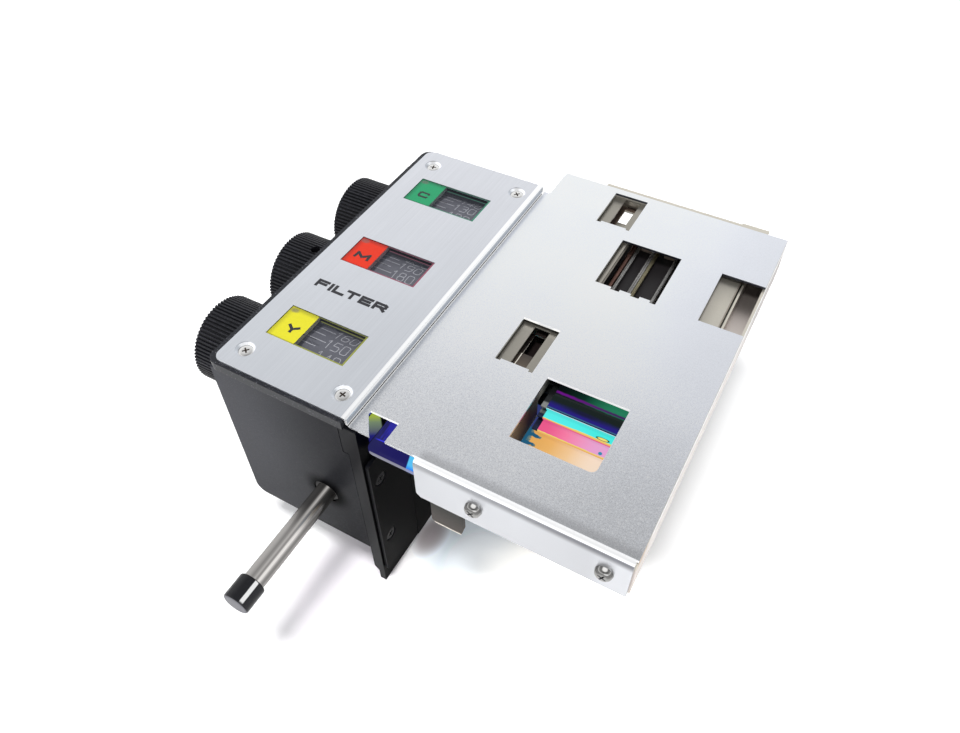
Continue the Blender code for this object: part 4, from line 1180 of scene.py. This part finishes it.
# ---- plates and stops in the slots ---------------------------------------
# name, low corner, high corner, edge bevel, finish
BLOCKS = (
    # nested slide plate under the near slot, its cut edges bright
    ("nest_plate", (30.4, 60.0, -9.65), (33.5, 70.2, -9.2), 0.05, "deep"),
    ("nest_plate_far", (33.55, 70.4, -9.65), (41.0, 73.6, -9.2), 0.05, "deep"),
    ("nest_edge", (33.55, 60.0, -9.6), (33.8, 70.35, -9.15), 0.05, "bright"),
    ("nest_edge_far", (33.85, 70.05, -9.6), (39.2, 70.35, -9.15), 0.05, "bright"),
    ("nest_floor", (30.4, 51.0, -14.6), (41.6, 74.0, -14.1), 0.08, "deep"),
    # stepped plates round the far slot's through hole
    ("hole_plate_left", (29.6, 145.5, -11.9), (33.6, 159.4, -11.3), 0.06, "deep"),
    ("hole_plate_far", (33.65, 157.1, -11.9), (41.4, 160.4, -11.3), 0.06, "deep"),
    ("hole_edge", (33.6, 149.0, -11.3), (33.85, 157.05, -11.0), 0.04, "bright"),
    # brown stops at the springs' far ends
    ("stop_1", (49.6, 134.2, -10.6), (54.4, 138.6, -7.6), 0.25, "brown"),
    ("stop_2", (59.2, 134.2, -10.6), (63.4, 138.6, -7.6), 0.25, "brown"),
)


def block(name, low, high, bevel, finish):
    mesh = bmesh.new()
    bmesh.ops.create_cube(mesh, size=1.0)
    for vert in mesh.verts:
        vert.co = Vector([(low[i] + high[i]) / 2 + vert.co[i] * (high[i] - low[i])
                          for i in range(3)])
    bmesh.ops.bevel(mesh, geom=mesh.edges[:], offset=bevel, segments=2, profile=0.5,
                    affect="EDGES")
    new_piece(name, mesh, FINISH[finish], "nickel", smooth=40)


for row in BLOCKS:
    block(*row)

# ---- printed marks -------------------------------------------------------
# width, then polylines of (across, up), each from 0 to 1
GLYPHS = {
    "F": (4.2, [[(0, 0), (0, 1), (1, 1)], [(0, .50), (.86, .50)]]),
    "I": (0.0, [[(0, 0), (0, 1)]]),
    "L": (4.1, [[(0, 1), (0, 0), (1, 0)]]),
    "T": (4.6, [[(0, 1), (1, 1)], [(.5, 1), (.5, 0)]]),
    "E": (4.3, [[(1, 1), (0, 1), (0, 0), (1, 0)], [(0, .50), (.88, .50)]]),
    "R": (4.5, [[(0, 0), (0, 1), (.86, 1), (1, .88), (1, .60), (.86, .46), (0, .46)],
                [(.56, .46), (1, 0)]]),
    "M": (6.2, [[(0, 0), (.05, 1), (.50, .22), (.95, 1), (1, 0)]]),
    "C": (4.3, [[(1, .84), (.94, 1), (.14, 1), (0, .86), (0, .14), (.14, 0), (.94, 0),
                 (1, .16)]]),
    "Y": (4.2, [[(0, 1), (.5, .46), (1, 1)], [(.5, .46), (.5, 0)]]),
}
AFTER_L = 0.55                             # the letter after an L moves in by this
# centre x, centre y, letter height, stroke width
MARKS = {
    "c": (-39.75, 112.45, 3.5, 0.86),
    "m": (-39.75, 68.15, 3.7, 1.14),
    "y": (-39.0, 23.95, 3.8, 1.14),
}
POINTER_LEFT, POINTER_RIGHT, POINTER_STROKE = -33.9, -28.4, 0.3
POINTER_BELOW_SHAFT = 1.95                 # towards the front


def flat_stroke(mesh, start, end, width, bottom, top):
    _, direction, half = stroke_frame(start, end, width)
    overrun = direction * width * 0.46
    prism(mesh, [[(*(centre + half), bottom), (*(centre - half), bottom),
                  (*(centre - half), top), (*(centre + half), top)]
                 for centre in (Vector(start) - overrun, Vector(end) + overrun)])


def lettering(name, text, centre, height, stroke, z, slot, gap, stretch):
    """Plain stroke lettering centred on a point."""
    total = sum(GLYPHS[letter][0] * stretch + stroke for letter in text)
    total += gap * (len(text) - 1)
    x = centre[0] - total / 2
    mesh = bmesh.new()
    rise = height - stroke
    level = 0                              # strokes step in height so none coincide
    for letter in text:
        width, lines = GLYPHS[letter]
        for line in lines:
            points = [(x + stroke / 2 + across * width * stretch,
                       centre[1] - rise / 2 + up * rise) for across, up in line]
            for start, end in zip(points, points[1:]):
                level = (level + 1) % 7
                flat_stroke(mesh, start, end, stroke, z - 0.03, z + 0.02 + 0.006 * level)
        x += width * stretch + stroke + (gap - AFTER_L if letter == "L" else gap)
    new_piece(name, mesh, INK_DARK, slot)


def pointer(key):
    """Line printed on a window."""
    top = box_mm("window_" + key)[1].z
    y = SHAFT_Y[key] - POINTER_BELOW_SHAFT
    mesh = bmesh.new()
    flat_stroke(mesh, (POINTER_LEFT, y), (POINTER_RIGHT, y), POINTER_STROKE,
                top - 0.02, top + 0.01)
    new_piece("pointer_" + key, mesh, INK_DARK, "lab_" + key)


lettering("marking_filter", "FILTER", (-30.4, 47.8), height=4.05, stroke=1.20, z=0.0,
          slot="alu", gap=0.66, stretch=0.97)
for key, (x, y, height, stroke) in MARKS.items():
    lettering("mark_" + key, key.upper(), (x, y), height, stroke,
              z=box_mm("label_" + key)[1].z, slot="lab_" + key, gap=0.9, stretch=0.92)
    pointer(key)

# ---- stage ---------------------------------------------------------------
FLOOR_CELLS, FLOOR_HALF, FLOOR_DROP = 24, 3.0, 0.0002      # sizes in metres
FLOOR_GAIN = 1.12
# painted shadows and pools of light seen by the camera: centre, radii, colour, amount
FLOOR_PAINTED_LIGHT = (
    ((28.0, 30.0), (30.0, 30.0), srgb(190, 215, 235), 0.5),
    ((36.0, 24.0), (18.0, 20.0), (1.30, 1.36, 1.42), 0.8),
    ((95.0, 5.0), (62.0, 62.0), (2.6, 2.6, 2.6), 1.0),
    ((70.0, 25.0), (40.0, 34.0), (2.2, 2.18, 2.10), 0.9),
    ((10.0, 26.0), (8.0, 13.0), (0.22, 0.17, 0.18), 0.80),
    ((-10.0, -10.0), (26.0, 45.0), srgb(225, 216, 228), 0.5),
)


def floor_paper():
    mat = Finish("floor_paper")
    cloud = mat.noise(0.02, detail=2.0, rough=0.5)
    plain = mat.shade((0.80, 0.80, 0.805), cloud.vary(0.01))
    seen = mat.shade((1.12, 1.12, 1.13), cloud.vary(0.01))
    # painted shadows and pools of light, for the camera only
    for centre, radii, tint, amount in FLOOR_PAINTED_LIGHT:
        spot = ellipse(mat.x, mat.y, centre, radii).step(1.0, 0.0)
        seen = mat.mix(spot * amount, seen, mat.shade(tint, FLOOR_GAIN))
    camera_ray = mat.value("LightPath", output="Is Camera Ray")
    return mat.surface(mat.mix(camera_ray, plain, seen), rough=0.9, Specular_IOR_Level=0.1)


def floor():
    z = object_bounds()[0][2] - FLOOR_DROP
    mesh = bmesh.new()
    marks = [-FLOOR_HALF + 2 * FLOOR_HALF * i / FLOOR_CELLS for i in range(FLOOR_CELLS + 1)]
    grid = [[mesh.verts.new((x, y, z)) for y in marks] for x in marks]
    for i in range(FLOOR_CELLS):
        for j in range(FLOOR_CELLS):
            mesh.faces.new((grid[i][j], grid[i + 1][j], grid[i + 1][j + 1], grid[i][j + 1]))
    data = bpy.data.meshes.new("floor")
    mesh.to_mesh(data)
    mesh.free()
    piece = bpy.data.objects.new("floor", data)
    bpy.context.scene.collection.objects.link(piece)
    data.materials.append(floor_paper())
    piece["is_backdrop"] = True


floor()

scene = bpy.context.scene
scene.view_settings.view_transform = "Standard"
scene.view_settings.look = "None"
scene.view_settings.exposure = 0.0
scene.view_settings.gamma = 1.0

# ---- camera --------------------------------------------------------------
CAMERA_RIGHT = Vector((0.872817, 0.487961, -0.009157))
CAMERA_UP = Vector((-0.359933, 0.656259, 0.663154))
CAMERA_FORWARD = Vector((-0.329603, 0.575516, -0.748427))
CAMERA_OFFSET = Vector((0.113908, -0.110682, 0.196112))    # metres from the corner


def add_camera():
    data = bpy.data.cameras.new("camera")
    data.sensor_fit = "HORIZONTAL"
    data.sensor_width = 36.0
    data.lens = 29.345
    data.clip_start = 0.01
    data.clip_end = 50.0
    camera = bpy.data.objects.new("camera", data)
    scene.collection.objects.link(camera)
    pose = Matrix((CAMERA_RIGHT, CAMERA_UP, -CAMERA_FORWARD)).transposed().to_4x4()
    pose.translation = CORNER + CAMERA_OFFSET
    camera.matrix_world = pose
    scene.camera = camera


add_camera()

# ---- lights --------------------------------------------------------------
LIGHT_TARGET = to_frame(0, 60, -50)


def area_light(name, direction, distance, width, depth, power, color):
    """Rectangular light aimed at the target; sizes in metres."""
    direction = Vector(direction).normalized()
    data = bpy.data.lights.new(name, "AREA")
    data.shape = "RECTANGLE"
    data.size = width
    data.size_y = depth
    data.energy = power
    data.color = color
    light = bpy.data.objects.new(name, data)
    scene.collection.objects.link(light)
    light.location = LIGHT_TARGET + direction * distance
    light.rotation_mode = "QUATERNION"
    light.rotation_quaternion = direction.to_track_quat("Z", "Y")
    return light


key_light = area_light("key", direction=(0.03, -0.25, 0.97), distance=1.3, width=0.27,
                       depth=0.27, power=13.5, color=(1.0, 0.995, 0.985))
key_light.visible_glossy = False
area_light("front", direction=(0.55, -0.80, 0.42), distance=1.6, width=1.2, depth=0.8,
           power=7.0, color=(0.98, 0.99, 1.0))

# brightness against the sine of the elevation
SKY = ((0.0, 0.95), (0.45, 0.97), (0.62, 0.97), (0.72, 0.83), (0.80, 0.64), (0.88, 0.46),
       (1.0, 0.38))
# brightness against the cosine of the angle from the camera's side: a dim opening
OPENING = ((0.0, 1.0), (0.82, 1.0), (0.93, 0.25), (1.0, 0.15))


def studio_world():
    world = bpy.data.worlds.new("studio")
    scene.world = world
    nodes = Nodes(world, "OutputWorld")
    direction = nodes.value("VectorMath", nodes.value("TexCoord", output="Generated"),
                            operation="NORMALIZE")
    towards_camera = nodes.value("VectorMath", direction, tuple(-CAMERA_FORWARD),
                                 operation="DOT_PRODUCT", output="Value")
    sky, opening = [nodes.ramp(factor, [(at, (level, level, level)) for at, level in stops])
                    for factor, stops in ((nodes.split(direction).z, SKY),
                                          (towards_camera, OPENING))]
    color = nodes.shade((0.985, 0.992, 1.0), sky * opening)
    background = nodes.value("Background", Color=color, Strength=1.0)
    nodes.put(nodes.output.inputs["Surface"], background)


studio_world()
